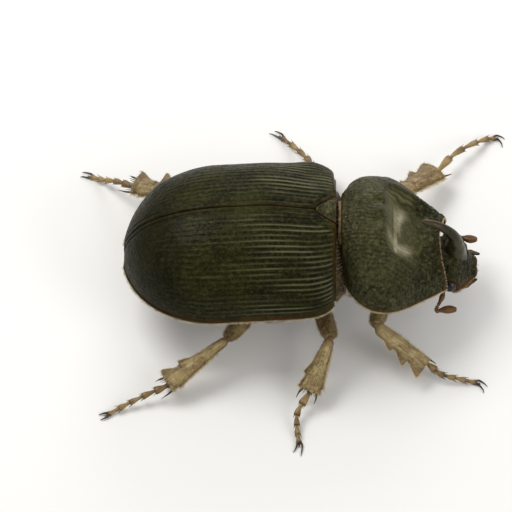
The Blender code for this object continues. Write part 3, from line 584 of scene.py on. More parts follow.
def elytron(side, label, seed):
    """A wing case: fine lengthwise rows of punctures, a rimmed margin, a raised
    seam edge and two soft bumps, at the shoulder and near the tip."""
    rng = np.random.default_rng(seed)
    x = np.concatenate([np.linspace(3.7, 3.1, 9)[:-1], np.linspace(3.1, -9, 124)[:-1],
                        -9 + (ELYTRA_TIP + 9.0) * np.sin(np.linspace(0, 1, 128) * math.radians(85.5))])
    count = 206
    rows = [back_section(v, 0.0, float(scutellum_half_width(v)) + (0.02 if v < 1.3 else GAP)) for v in x]
    grid = even_sections(rows, count)
    grid[..., 1] *= side
    out = normals(grid) * (-side)
    if (out[60, 100] * np.array((0, side, 1))).sum() < 0:
        out = -out
    n, m = grid.shape[:2]
    step = np.linalg.norm(np.diff(grid, axis=1), axis=2)
    s = np.concatenate([np.zeros((n, 1)), np.cumsum(step, 1)], 1)
    total = s[:, -1:]
    seam = total - s
    fraction = s / np.maximum(total, 1e-6)
    full = np.array([np.linalg.norm(np.diff(back_section(v, 0.0, 0.0, 200), axis=0), axis=1).sum() for v in x])[:, None]
    field = 0.05 * noise(grid, 4.0, 3) + 0.012 * noise(grid, 0.9, 5)
    # shoulder and tip bumps, and a shallow dip inside the shoulder
    for cx, cf, high, wx, wf in ((1.0, 0.36, 0.26, 1.5, 1.8), (-15.2, 0.48, 0.16, 1.4, 1.5), (0.6, 0.60, -0.12, 1.1, 1.5)):
        field += high * np.exp(-((x[:, None] - cx) / wx) ** 2 - ((fraction - cf) * total / wf) ** 2)
    # lengthwise striae, clearest in front
    lines = 23
    strength = (0.35 + 0.65 * ease((x[:, None] + 8.5) / 8)) * ease((x[:, None] + 17.6) / 3.5) * ease((3.55 - x[:, None]) / 0.7)
    phase = s / full * lines
    off_line = (phase - np.floor(phase) - 0.5) * full / lines
    body_of = ease((s - 0.7) / 0.6) * ease((seam - 1.0) / 0.5)
    worn = clip(0.72 + 0.75 * noise(grid * np.array((0.25, 1, 1)), 1.1, 7), 0.12, 1.25)
    groove = np.exp(-(off_line / 0.085) ** 2)
    field -= 0.042 * strength * body_of * worn * groove
    field += 0.020 * strength * body_of * worn * (1 - groove)
    # the grooves of the striae are darkened: painted shade
    deep = 0.55 * strength * body_of * worn * groove
    # a painted highlight along the ridges between the striae, clearest in front
    crest = np.exp(-(((0.5 - np.abs(phase - np.floor(phase) - 0.5)) * full / lines) / 0.075) ** 2)
    crest *= (body_of * ease((3.5 - x[:, None]) / 0.4) * (0.22 * ease((x[:, None] + 15) / 5) + 0.78 * ease((x[:, None] + 8.5) / 6.5))
              * clip(0.55 + 1.1 * noise(grid * np.array((0.25, 1, 1)), 0.8, 9)))
    # punctures along the striae, and scattered ones between them
    pits = np.zeros_like(field)
    for k in range(1, lines - 1):
        for i in np.arange(6, n - 12, 4):
            i = int(i + rng.integers(-1, 2))
            j = int((k + 0.5) / lines * float(full[i, 0] / total[i, 0]) * (m - 1))
            if j > m - 4:
                continue
            w = float(body_of[i, j]) * (0.45 + 0.55 * float(ease((x[i] + 16) / 6)))
            if rng.random() < 0.82 and w > 0.1:
                dent(pits, grid, i, min(m - 2, j + int(rng.integers(-1, 2))), 0.10 * rng.uniform(0.8, 1.25),
                     0.040 * w * rng.uniform(0.6, 1.2), 3)
    scatter_pits(pits, grid, rng, 1500, 0.075, 0.020, 2, ease((s - 0.5) / 0.5))
    scatter_pits(pits, grid, rng, 420, 0.13, 0.030, 3, ease((-11 - x[:, None]) / 3) * np.ones_like(s))
    field += pits
    # seam edge, side rim and rounded front edge
    field -= 0.075 * np.exp(-((seam - 0.62) / 0.11) ** 2) * ease((3.2 - x[:, None]) / 1.0)
    field += 0.035 * np.exp(-((seam - 0.3) / 0.22) ** 2)
    field -= 0.20 * clip(1 - seam / 0.16) ** 2
    field += 0.075 * np.exp(-((s - 0.16) / 0.13) ** 2)
    field -= 0.070 * np.exp(-((s - 0.46) / 0.12) ** 2)
    field -= 0.42 * (1 - np.sqrt(clip(1 - clip((x[:, None] - 3.15) / 0.55) ** 2))) * np.ones_like(s)
    shown = grid + out * field[..., None]
    shown[..., 1] = side * np.maximum(side * shown[..., 1], 0.012)
    # the folded-under edge
    fold = np.stack([shown[:, 0] + np.array((0, -side * dy, -dz)) for dy, dz in
                     ((0.75, 0.02), (0.42, 0.20), (0.14, 0.17), (0.03, 0.08))], 1)
    shown = np.concatenate([fold, shown], 1)
    pad = np.zeros((n, 4))
    inner = []
    for v in x[::8]:
        inner.append(back_section(v - (0.35 if v < -9 else 0), ELYTRA_WALL, float(scutellum_half_width(v)) + 0.05, 60))
    inner = even_sections(inner, 24)
    inner[..., 1] *= side
    inner[..., 0] = x[::8][:, None]
    rim = np.concatenate([pad + 0.9, clip(np.exp(-(s / 0.55) ** 2) * 0.9 + 0.25 * np.exp(-(seam / 0.2) ** 2)
                                          + 0.5 * np.exp(-((x[:, None] - 3.6) / 0.35) ** 2))], 1)
    rim *= 0.75 + 0.35 * noise(shown, 1.3, 11)
    deep = np.concatenate([pad, clip(deep - pits / 0.035)], 1)
    crest = np.concatenate([pad, crest], 1)
    shade = np.concatenate([pad, ease((-9.5 - x[:, None]) / 8.5) * np.ones_like(s)
                            + 0.4 * clip(noise(grid, 3.2, 13))], 1)
    plate(shape := Shape(), shown, inner, rim=clip(rim), deep=deep, shade=clip(shade), crest=clip(crest))
    return make("elytron_shell_" + label, shape, ELYTRON, ["elytron_" + label], 50)


for (side, label), seed in zip(SIDES, (21, 22)):
    elytron(side, label, seed)

# Scutellum: a small punctured triangle between the wing cases.
x = np.linspace(3.68, 1.52, 34)
rows = []
for v in x:
    w = max(0.03, float(scutellum_half_width(v)) - 0.035)
    a, h = float(back_half_width(v)), float(back_height(v))
    y = np.linspace(-w, w, 46)
    z = margin_z(v) + h * (1 - np.abs(y / a) ** DOME_POWER) ** (1 / DOME_POWER) + 0.02
    rows.append(np.stack([np.full(46, v), y, z], -1))
grid = np.array(rows)
edge = np.minimum(np.abs(np.abs(grid[..., 1]) - np.abs(grid[:, :1, 1])), np.minimum(3.68 - grid[..., 0], 9))
field = np.zeros(edge.shape)
scatter_pits(field, grid, np.random.default_rng(5), 90, 0.09, 0.035, 2)
field += 0.05 * ease(edge / 0.25) - 0.05 + 0.10 * np.exp(-(grid[..., 1] / 0.5) ** 2) * ease((grid[..., 0] - 1.8) / 1.5)
grid[..., 2] += field
low = grid[::3, ::5].copy()
low[..., 2] -= 0.45
plate(shape := Shape(), grid, low, deep=clip(-field / 0.05) * 0.7, rim=0.5 * np.exp(-(edge / 0.12) ** 2))
make("scutellum_plate", shape, SHIELD, ["scutellum"])


# The trunk under the wing cases, in ringed plates.
def trunk_rings(x, top=34, under=150):
    rings = []
    for v in x:
        upper = even_sections([back_section(v - (0.35 if v < -9 else 0), ELYTRA_WALL + 0.14, 0.0, 90)], top)[0]
        upper[:, 0] = v
        low = max(float(back_half_width(v)) - 0.3, 0.2)
        t = np.linspace(0, np.pi, 300)
        arc = np.stack([np.full(300, v), -low * signed_power(np.cos(t), 2 / BELLY_POWER),
                        margin_z(v) - 0.12 - float(belly_depth(v)) * np.sin(t) ** (2 / BELLY_POWER)], -1)
        arc = even_sections([arc], under)[0]
        rings.append(np.concatenate([upper, (upper * np.array((1, -1, 1)))[-2::-1], arc], 0))
    return np.array(rings), 2 * top - 1


def banded(name, node, x, seams, seed, split=False):
    """A length of the trunk with overlapping belly plates."""
    rings, start = trunk_rings(x)
    out = normals(rings, True)
    if out[len(x) // 2, start + 75, 2] > 0:
        out = -out
    belly = np.zeros(rings.shape[:2])
    belly[:, start:] = 1.0
    place = rings[..., 0]
    field = 0.05 * noise(rings, 2.5, seed) + 0.015 * noise(rings, 0.6, seed + 1)
    # The seams between plates and the middle groove are darkened: painted shade.
    deep = np.zeros_like(field)
    for at, after in zip(seams, seams[1:] + [seams[-1] - 2.4]):
        inside = (place <= at) & (place > after)
        field += np.where(inside, -0.16 + 0.20 * (at - place) / (at - after), 0)
        field -= 0.07 * np.exp(-((place - at) / 0.05) ** 2)
        deep += np.exp(-((place - at + 0.03) / 0.08) ** 2)
    if split:
        mid = np.exp(-(rings[..., 1] / 0.12) ** 2)
        field -= 0.12 * mid
        deep += 0.7 * mid
        field += 0.25 * np.exp(-((np.abs(rings[..., 1]) - 1.3) / 1.0) ** 2) * ease((place + 4.0) / 2)
    pits = np.zeros_like(field)
    scatter_pits(pits, rings, np.random.default_rng(seed), 1300, 0.085, 0.035, 3, belly)
    field = (field + pits) * belly
    rings = rings + out * field[..., None]
    ringed(shape := Shape(), rings, deep=clip(deep * 0.8 - pits / 0.04) * belly)
    make(name, shape, UNDER, [node])
    return rings[:, start:]


# The waist between the wing cases and the pronotum, and the neck.
def stalk_ring(x, wide, up, down, middle, count=90):
    a = 2 * np.pi * np.arange(count) / count
    c, s = np.cos(a), np.sin(a)
    return np.stack([np.full(count, x), wide * signed_power(c, 0.9), middle + np.where(s > 0, up, down) * signed_power(s, 0.9)], -1)


x = np.linspace(2.9, 4.75, 26)
rings = np.array([stalk_ring(v, 6.1 - 1.2 * float(ease((v - 3.7) / 1.0)), 6.2 - 1.0 * float(ease((v - 3.6) / 1.0)), 3.4, 8.0) for v in x])
out = unit(rings - rings.mean(1, keepdims=True))
rings = rings + out * (0.06 * noise(rings, 0.6, 37))[..., None]
WAIST = rings
# The whole membrane is darkened: painted shade in the gap between wing cases and shield.
ringed(shape := Shape(), rings, deep=0.5)
make("waist_ring", shape, MEMBRANE, ())
x = np.linspace(13.9, 15.9, 24)
rings = np.array([stalk_ring(v, 3.0 + 0.1 * math.cos(9 * v), 2.05, 1.9, 5.9) for v in x])
out = unit(rings - rings.mean(1, keepdims=True))
rings = rings + out * (0.05 * noise(rings, 0.5, 38))[..., None]
# The whole membrane is darkened: painted shade in the gap between head and shield.
ringed(shape := Shape(), rings, deep=0.4)
make("neck_ring", shape, MEMBRANE, ())

chest = banded("metasternum", "thorax_under", np.linspace(3.5, -4.55, 90), [3.2, -3.6], 31, True)
belly = banded("belly_plates", "abdomen", np.linspace(-4.6, -16.45, 112), [-5.6, -7.9, -10.1, -12.2, -14.2, -15.9], 33)
banded("pygidium_plate", "pygidium", np.linspace(-16.5, -18.3, 34), [-16.9], 35)


# ----------------------------------------------------------------- pronotum
def shield_half_width(x):
    front = 1 - 0.53 * clip((x - 9.3) / 6.2) ** 1.55
    return PRONOTUM_HALF_WIDTH * rounded_end(x, 8.5, 3.75, 2.3) * front


def shield_height(x):
    return (PRONOTUM_HEIGHT - 4.8 * clip((x - 9) / 6.2) ** 1.3) * (1 - 0.2 * clip((8 - x) / 4) ** 2.5)


def shield_margin_z(x):
    return PRONOTUM_MARGIN_Z + 1.3 * ease((9 - x) / 5) - 0.45 * ease((x - 9) / 5)


def hollow(x, y):
    along = ease((x - HOLLOW_REAR) / 1.9) * (1 - 0.9 * ease((x - 11.6) / 3.4))
    across = 1 - ease((np.abs(y) - HOLLOW_HALF_WIDTH + 0.9) / 2.0)
    return HOLLOW_DEPTH * along * across


def knobs(x, y):
    return sum(KNOB_HEIGHT * size * np.exp(-((x - 8.35) / 0.75) ** 2 - ((y - at) / 0.75) ** 2)
               for at, size in ((-2.3, 0.8), (0, 1.0), (2.3, 0.8)))


def shield_row(x, count=420):
    t = np.linspace(0, np.pi, count)
    a, h = float(shield_half_width(x)), float(shield_height(x))
    y = a * signed_power(np.cos(t), 2 / PRONOTUM_POWER)
    z = float(shield_margin_z(x)) + h * np.sin(t) ** (2 / PRONOTUM_POWER)
    bent = 0.75 * ease((x - 12.5) / 2.4) * (y / a) ** 2
    return np.stack([x + bent, y, z - hollow(x, y) + knobs(x, y)], -1)


x = np.concatenate([np.linspace(4.05, 4.6, 12)[:-1], np.linspace(4.6, 14.3, 122)[:-1], np.linspace(14.3, 14.9, 11)])
grid = even_sections([shield_row(v) for v in x], 300)
out = normals(grid)
if out[60, 150, 2] < 0:
    out = -out
n, m = grid.shape[:2]
s = np.concatenate([np.zeros((n, 1)), np.cumsum(np.linalg.norm(np.diff(grid, axis=1), axis=2), 1)], 1)
side_edge = np.minimum(s, s[:, -1:] - s)
rear_edge = (x - 4.05)[:, None] * np.ones_like(s)
front_edge = (14.9 - x)[:, None] * np.ones_like(s)
dip = hollow(grid[..., 0], grid[..., 1]) / HOLLOW_DEPTH
field = 0.05 * noise(grid, 3.0, 41) + 0.014 * noise(grid, 0.7, 42)
# fine ridges that run in from the front and side margins
ridge = np.sin(2 * np.pi * (grid[..., 0] + 0.25 * noise(grid, 1.6, 43) + 0.10 * noise(grid, 0.5, 48)) / 0.34)
near_front = ease((grid[..., 0] - 8.6) / 2.0) * (1 - ease((side_edge - 3.6) / 1.6)) * ease(side_edge / 0.5)
field += 0.022 * ridge * near_front * (1 - ease(dip * 2.5))
# the rear wall of the hollow is streaked from top to bottom
across_of = 1 - ease((np.abs(grid[..., 1]) - HOLLOW_HALF_WIDTH + 0.9) / 2.0)
level = clip(1 - np.sqrt((1 - ease((grid[..., 0] - HOLLOW_REAR) / 1.9)) ** 2 + (1 - across_of) ** 2))
wall = clip(1 - np.abs(level - 0.42) / 0.50) * (1 - ease((grid[..., 0] - 11.4) / 1.2))
streak = np.sin(2 * np.pi * (grid[..., 1] + 0.22 * noise(grid, 1.3, 44)) / 0.40)
field += 0.030 * streak * wall
pits = np.zeros_like(field)
rng = np.random.default_rng(45)
smooth_floor = ease((dip - 0.55) / 0.3)
scatter_pits(pits, grid, rng, 3600, 0.14, 0.055, 4, (1 - 0.85 * smooth_floor) * (0.45 + 0.55 * ease((6.0 - side_edge) / 3) + 0.3 * ease((7.5 - grid[..., 0]) / 2)))
scatter_pits(pits, grid, rng, 3200, 0.08, 0.030, 3, 1 - 0.9 * smooth_floor)
field += pits
field += 0.09 * np.exp(-((rear_edge - 0.34) / 0.2) ** 2) - 0.06 * np.exp(-((rear_edge - 0.78) / 0.14) ** 2)
field -= 0.40 * (1 - np.sqrt(clip(1 - clip(1 - rear_edge / 0.4) ** 2)))
field += 0.085 * np.exp(-((side_edge - 0.2) / 0.16) ** 2) - 0.06 * np.exp(-((side_edge - 0.55) / 0.14) ** 2)
field += 0.07 * np.exp(-((front_edge - 0.25) / 0.15) ** 2) - 0.06 * np.exp(-((front_edge - 0.6) / 0.13) ** 2)
field -= 0.22 * (1 - np.sqrt(clip(1 - clip(1 - front_edge / 0.22) ** 2)))
SHIELD_GRID, SHIELD_OUT = grid.copy(), out.copy()
shown = grid + out * field[..., None]
low = shown[::8, ::10].copy()
low[..., 1] *= 0.965
low[..., 2] = (shield_margin_z(x)[::8] - 0.3)[:, None]
# Painted highlight in the hollow: a band along the foot of its wall, strongest on the near side, a crescent across the
# floor ahead of the wall and a streak by its near side.
foot = ease((level - 0.58) / 0.16) * (1 - ease((level - 0.84) / 0.12)) * ease((3.2 - grid[..., 1]) / 1.4) * ease((12.4 - grid[..., 0]) / 1.6)
pale = clip(foot * (0.62 + 0.38 * ease((-1.0 - grid[..., 1]) / 1.5)) * clip(0.85 + 0.45 * noise(grid * np.array((1, 2.4, 1)), 0.7, 46), 0.3, 1.1))
far_end = ease((grid[..., 1] - 0.4) / 2.2)
highlight_crescent = np.exp(-((grid[..., 0] - HOLLOW_REAR - 1.62 - 0.30 * far_end) / (0.26 + 0.34 * far_end)) ** 2)
highlight_crescent *= ease((HOLLOW_HALF_WIDTH - 0.35 - grid[..., 1]) / 0.8) * ease((grid[..., 1] + 1.6) / 2.6)
toe = np.exp(-((grid[..., 1] + HOLLOW_HALF_WIDTH - 1.35 - 0.12 * (grid[..., 0] - 10.0) ** 2) / 0.55) ** 2)
toe *= ease((grid[..., 0] - 8.9) / 0.9) * (1 - ease((grid[..., 0] - 11.0) / 1.3))
pale = np.maximum(pale, clip((0.95 * highlight_crescent + 0.85 * toe) * clip(0.9 + 0.35 * noise(grid * np.array((1, 2.4, 1)), 0.6, 50) - 0.30 * clip(-streak), 0.3, 1.1)))
# The streaked rear wall of the hollow is painted lighter than its shade.
wall_light = clip(wall * (0.80 + 0.5 * streak))
rim = clip(0.7 * np.exp(-(side_edge / 0.3) ** 2) + 0.7 * np.exp(-(rear_edge / 0.3) ** 2) + 0.6 * np.exp(-(front_edge / 0.25) ** 2))
shade = clip(0.5 * clip(noise(grid, 2.6, 47)) + 0.45 * ease((grid[..., 0] - 8.0) / 3) * ease((side_edge - 2.0) / 2) * (1 - ease(dip * 2)))
# Painted shade in pits, ridge valleys and wall streaks, a painted highlight on the front ridge tops and in the hollow,
# painted light on the hollow's wall and floor.
plate(shape := Shape(), shown, low, deep=clip(-pits / 0.06 + 0.35 * clip(-ridge) * near_front * (1 - dip) + 0.4 * clip(-streak) * wall),
      rim=rim, pale=pale * 0.80, shade=shade, tan=clip(wall_light + 0.35 * ease((dip - 0.75) / 0.2) * ease((13.2 - grid[..., 0]) / 2)),
      crest=clip(0.5 * clip(ridge) * near_front * (1 - ease((side_edge - 1.6) / 2.4)) * clip(0.6 + noise(grid, 0.6, 49)) * (1 - ease(dip * 2.5))))
make("pronotum_shield", shape, SHIELD, ["pronotum"], 50)


# Underside of the pronotum
def sternum_shape(x):
    a = shield_half_width(x) * 0.93
    top = shield_margin_z(x) - 0.36
    depth = STERNUM_DEPTH * (1 - 0.35 * ease((7 - x) / 3)) * (1 - 0.3 * ease((x - 11.5) / 3.4))
    return a, top, depth


x = np.linspace(4.4, 14.85, 96)
rings = []
for v in x:
    a, top, depth = (float(q) for q in sternum_shape(v))
    t = np.linspace(0, np.pi, 300)
    arc = np.stack([np.full(300, v), -a * signed_power(np.cos(t), 2 / 1.35), top - depth * np.sin(t) ** (2 / 1.35)], -1)
    arc = even_sections([arc], 130)[0]
    lid = np.stack([np.full(10, v), np.linspace(a * 0.8, -a * 0.8, 10), np.full(10, top)], -1)
    rings.append(np.concatenate([arc, lid]))
rings = np.array(rings)
out = normals(rings, True)
if out[48, 65, 2] > 0:
    out = -out
under = np.zeros(rings.shape[:2])
under[:, :130] = 1
field = 0.06 * noise(rings, 1.8, 51) + 0.02 * noise(rings, 0.5, 52)
for at, y0 in ((11.2, 3.4), (11.2, -3.4)):
    field -= 0.25 * np.exp(-((rings[..., 0] - at) / 1.3) ** 2 - ((rings[..., 1] - y0) / 1.2) ** 2)
keel = 0.22 * np.exp(-(rings[..., 1] / 0.45) ** 2)
notch = np.exp(-((np.abs(rings[..., 1]) - 0.72 * shield_half_width(rings[..., 0])) / 0.08) ** 2)
pits = np.zeros_like(field)
scatter_pits(pits, rings, np.random.default_rng(53), 1300, 0.09, 0.04, 3, under)
field = (field + keel - 0.05 * notch + pits) * under
STERNUM = (rings + out * field[..., None])[:, :130]
ringed(shape := Shape(), rings + out * field[..., None], deep=clip(0.6 * notch - pits / 0.05) * under)
make("prosternum_plate", shape, UNDER, ["prosternum"])


def floor_of_body(x, y):
    """The lowest z of the body above a place, or None beside it."""
    if x > 4.2:
        a, top, depth = (float(q) for q in sternum_shape(x))
        power = 1.35
    else:
        a, power = max(float(back_half_width(x)) - 0.3, 0.2), BELLY_POWER
        top, depth = margin_z(x) - 0.12, float(belly_depth(x))
    if abs(y) >= a or x > 14.9:
        return None
    return top - depth * (1 - (abs(y) / a) ** power) ** (1 / power)


# --------------------------------------------------------------------- head
def head_half_width(x):
    return HEAD_HALF_WIDTH * (1 - 0.05 * ease((16 - x) / 1)) * (1 - 0.62 * ease((x - 16.4) / 2.6))


def head_middle(x):
    return 5.85 - 1.0 * ease((x - 16.4) / 2.6)


def head_up(x):
    return 2.25 - 1.65 * ease((x - 16.6) / 2.3)


def head_down(x):
    return 2.1 - 1.55 * ease((x - 16.2) / 2.6)


def head_surface(x, y, upper=True):
    a = head_half_width(x)
    reach = head_up(x) if upper else -head_down(x)
    return head_middle(x) + reach * clip(1 - np.abs(y / a) ** 2.3) ** (1 / 2.3)


x = np.concatenate([np.linspace(15.02, 18.6, 100)[:-1], 18.6 + 0.35 * np.sin(np.linspace(0, np.pi / 2, 16))])
t = np.linspace(0, 2 * np.pi, 160, endpoint=False)
c, sn = np.cos(t), np.sin(t)
rings = []
for v in x:
    shrink = math.sqrt(max(0.03, 1 - clip((v - 18.6) / 0.36) ** 2))
    a = float(head_half_width(v)) * (0.80 + 0.20 * shrink)
    y = a * signed_power(c, 2 / 2.3)
    reach = np.where(sn > 0, float(head_up(v)), float(head_down(v))) * np.abs(sn) ** (2 / 2.3) * shrink
    back = (0.06 + 0.75 * (y / 4.1) ** 2) * (1 - clip((v - 15.02) / 0.5))
    round_off = (0.42 * (np.abs(y) / 2.0) ** 2.6 + 0.10 * np.exp(-(y / 0.5) ** 2)) * clip((v - 17.4) / 1.5) ** 1.5
    rings.append(np.stack([v + back - round_off, y, float(head_middle(v)) + np.sign(sn) * reach], -1))
rings = np.array(rings)
out = normals(rings, True)
if out[40, 40, 2] < 0:
    out = -out
px, py, pz = rings[..., 0], rings[..., 1], rings[..., 2]
upper = ease((pz - head_middle(px)) / 0.5)
ay = np.abs(py)
field = 0.03 * noise(rings, 1.4, 61) + 0.014 * noise(rings, 0.45, 62)
field += 0.24 * np.exp(-((px - 16.35) / 1.15) ** 2 - (py / 1.35) ** 2) * upper          # brow under the horn
field += 0.12 * np.exp(-((px - 17.42 - 0.12 * ay) / 0.12) ** 2) * upper * (ay < 2.2)    # ridge between brow and shield of the mouth
field -= 0.09 * np.exp(-((px - 17.68 - 0.12 * ay) / 0.14) ** 2) * upper
front_rim = np.exp(-((px - 18.78) / 0.11) ** 2) * upper
field += 0.10 * front_rim
a_here = head_half_width(px)
side_rim = np.exp(-((a_here - ay - 0.10) / 0.12) ** 2) * upper * ease((px - 17.3) / 0.4)
field += 0.08 * side_rim
field -= 0.10 * np.exp(-((px - 18.45) / 0.2) ** 2) * upper * (1 - side_rim) * ease((1.4 - ay) / 0.4)
# the cheek bar that runs into the eye, and the socket's raised ring
bar = np.exp(-((pz - 6.0) / 0.20) ** 2) * np.exp(-((px - 16.65) / 0.55) ** 2) * ease((ay - 2.0) / 0.8)
field += 0.24 * bar
eye_far = np.sqrt((px - EYE_CENTRE[0]) ** 2 + (ay - EYE_CENTRE[1]) ** 2 + (pz - EYE_CENTRE[2]) ** 2)
field += 0.13 * np.exp(-((eye_far - 0.98) / 0.13) ** 2)
field -= 0.35 * clip(1 - eye_far / 0.8)
# throat seams
throat = 1 - upper
field -= 0.08 * np.exp(-((ay - 0.95) / 0.08) ** 2) * throat * ease((17.8 - px) / 0.5)
pits = np.zeros_like(field)
rng = np.random.default_rng(63)
scatter_pits(pits, rings, rng, 1500, 0.095, 0.045, 3, 0.35 + 0.65 * upper)
scatter_pits(pits, rings, rng, 1400, 0.055, 0.022, 2, upper)
pits *= ease((eye_far - 0.85) / 0.2)
field += pits
rim = clip(0.8 * front_rim + 0.7 * side_rim + 0.6 * bar + 0.5 * np.exp(-((eye_far - 0.95) / 0.12) ** 2))
# Pits, the groove between brow and mouth shield and the eye socket are darkened: painted shade.
deep = clip(-pits / 0.05 + 0.6 * np.exp(-((px - 17.68 - 0.12 * ay) / 0.12) ** 2) * upper + 0.5 * np.exp(-((eye_far - 0.84) / 0.07) ** 2))
HEAD_RINGS = rings + out * field[..., None]
ringed(shape := Shape(), HEAD_RINGS, rim=rim, deep=deep, shade=0.35 * throat)
make("head_capsule", shape, HEAD, ["head"], 50)

for side, label in SIDES:
    at = EYE_CENTRE * np.array((1, side, 1))
    bm = bmesh.new()
    bmesh.ops.create_icosphere(bm, subdivisions=6, radius=EYE_RADIUS * 0.985)
    bm.verts.ensure_lookup_table()
    places = np.array([v.co for v in bm.verts]) * np.array((1.0, 0.98, 1.0))
    faces = np.array([[v.index for v in f.verts] for f in bm.faces])
    bm.free()
    # each of the older vertices is the top of one facet
    coarse = bmesh.new()
    bmesh.ops.create_icosphere(coarse, subdivisions=5, radius=EYE_RADIUS * 0.985)
    tops = len(coarse.verts)
    coarse.free()
    lift = np.zeros(len(places))
    lift[:tops] = 0.009
    places = places * (1 + lift / EYE_RADIUS)[:, None]
    shape = Shape().add(places + at, [faces])
    make("eye_ball_" + label, shape, EYE, ["eye_" + label], 80)

# Horn: bent back, oval at its root, smooth and pointed at its end.
HORN_PATH = ((16.45, 0, 6.55), (16.6, 0, 8.9), (16.4, 0, 10.4), (15.6, 0, 11.75), (14.4, 0, 12.8), (12.9, 0, 13.4))
rings = sweep(HORN_PATH, lambda t: (HORN_BASE_RADIUS + (HORN_TIP_RADIUS - HORN_BASE_RADIUS) * t ** 0.8
                                    + 0.42 * np.exp(-(t / 0.17) ** 2.0)) * domed(t, 0, 0.05),
              72, 130, 0.95, (1, 0, 0), along=np.linspace(0, 1, 130))
out = normals(rings, True)
middle = rings.mean(1, keepdims=True)
if ((rings - middle) * out).sum() < 0:
    out = -out
t = np.linspace(0, 1, 130)[:, None] * np.ones(72)
rear = np.exp(-(rings[..., 1] / 0.16) ** 2) * ((rings[..., 0] - middle[..., 0]) < 0)
field = 0.03 * noise(rings, 0.8, 71) + 0.07 * rear * ease((0.75 - t) / 0.3)
field += 0.02 * np.sin(t * 46 + 1.5 * noise(rings, 1.2, 72)) * ease((0.45 - t) / 0.3)
pits = np.zeros_like(field)
scatter_pits(pits, rings, np.random.default_rng(73), 520, 0.075, 0.030, 3, ease((0.55 - t) / 0.4))
ringed(shape := Shape(), rings + out * (field + pits)[..., None], deep=clip(-pits / 0.04), rim=0.35 * ease((t - 0.55) / 0.4),
       shade=0.5 * ease((0.2 - t) / 0.2))
make("horn_blade", shape, HORN, ["horn"], 60)

# Mouth: jaws beside the head's front edge, lip, chin plate and jointed palps.
for side, label, reach in ((RIGHT, "right", 1.05), (LEFT, "left", 2.2)):
    path = [(16.9, side * 1.8, 4.0), (17.9, side * (reach + 0.4), 3.95), (18.95 if side == RIGHT else 19.25, side * reach, 4.15)]
    shape = Shape()
    rings = sweep(path, lambda t: (0.50 - 0.37 * t ** 2.0) * domed(t, 0.08, 0.06), 36, 60, 0.52)
    rings = rings + unit(rings - rings.mean(1, keepdims=True)) * (0.025 * noise(rings, 0.5, 81))[..., None]
    rings[..., 2] -= 0.12 * np.exp(-((rings[..., 0] - 18.0) / 0.22) ** 2) + 0.05 * np.exp(-((rings[..., 0] - 18.6) / 0.12) ** 2)
    ringed(shape, rings, edge=0.25 * ease((rings[..., 0] - 18.0) / 0.6))
    spine(shape, (18.25, side * (reach + 0.05), 4.0), (18.5, side * (reach - 0.42), 4.02), 0.20, 0.05, (0.05, 0, 0.02))
    make("jaw_" + label, shape, JAW, ["mandible_" + label])
    shape = Shape()
    joints = [(16.3, side * 0.9, 3.35), (16.85, side * 1.15, 3.12), (17.2, side * 1.2, 3.0), (17.6, side * 1.14, 2.93), (18.1, side * 1.0, 2.9)]
    for k, (a, b) in enumerate(zip(joints, joints[1:])):
        a, b = np.array(a), np.array(b)
        rings = sweep([a, (a + b) / 2, b], lambda t, k=k: (0.21 + 0.06 * t) * (1.12 if k == 3 else 1) * domed(t, 0.15, 0.62 if k == 3 else 0.3), 20, 24)
        ringed(shape, rings, edge=clip(1 - np.linspace(0, 1, 24)[:, None] * 3) * 0.8)
    make("palp_joints_" + label, shape, FEELER, ["palp_" + label])

shape = Shape()
rings = sweep([(15.9, 0, 3.62), (16.9, 0, 3.45), (17.7, 0, 3.6)], lambda t: (0.78 - 0.25 * t) * domed(t, 0.2, 0.2), 40, 34, 0.42)
ringed(shape, rings + np.array((0, 0, 1)) * (0.03 * noise(rings, 0.4, 83))[..., None])
make("chin_plate", shape, UNDER, ())
shape = Shape()
rings = sweep([(18.2, 0, 4.1), (18.6, 0, 4.05), (18.98, 0, 4.2)], lambda t: (1.0 - 0.35 * t) * domed(t, 0.1, 0.35), 40, 24, 0.2)
ringed(shape, rings)
make("lip", shape, JAW, ())

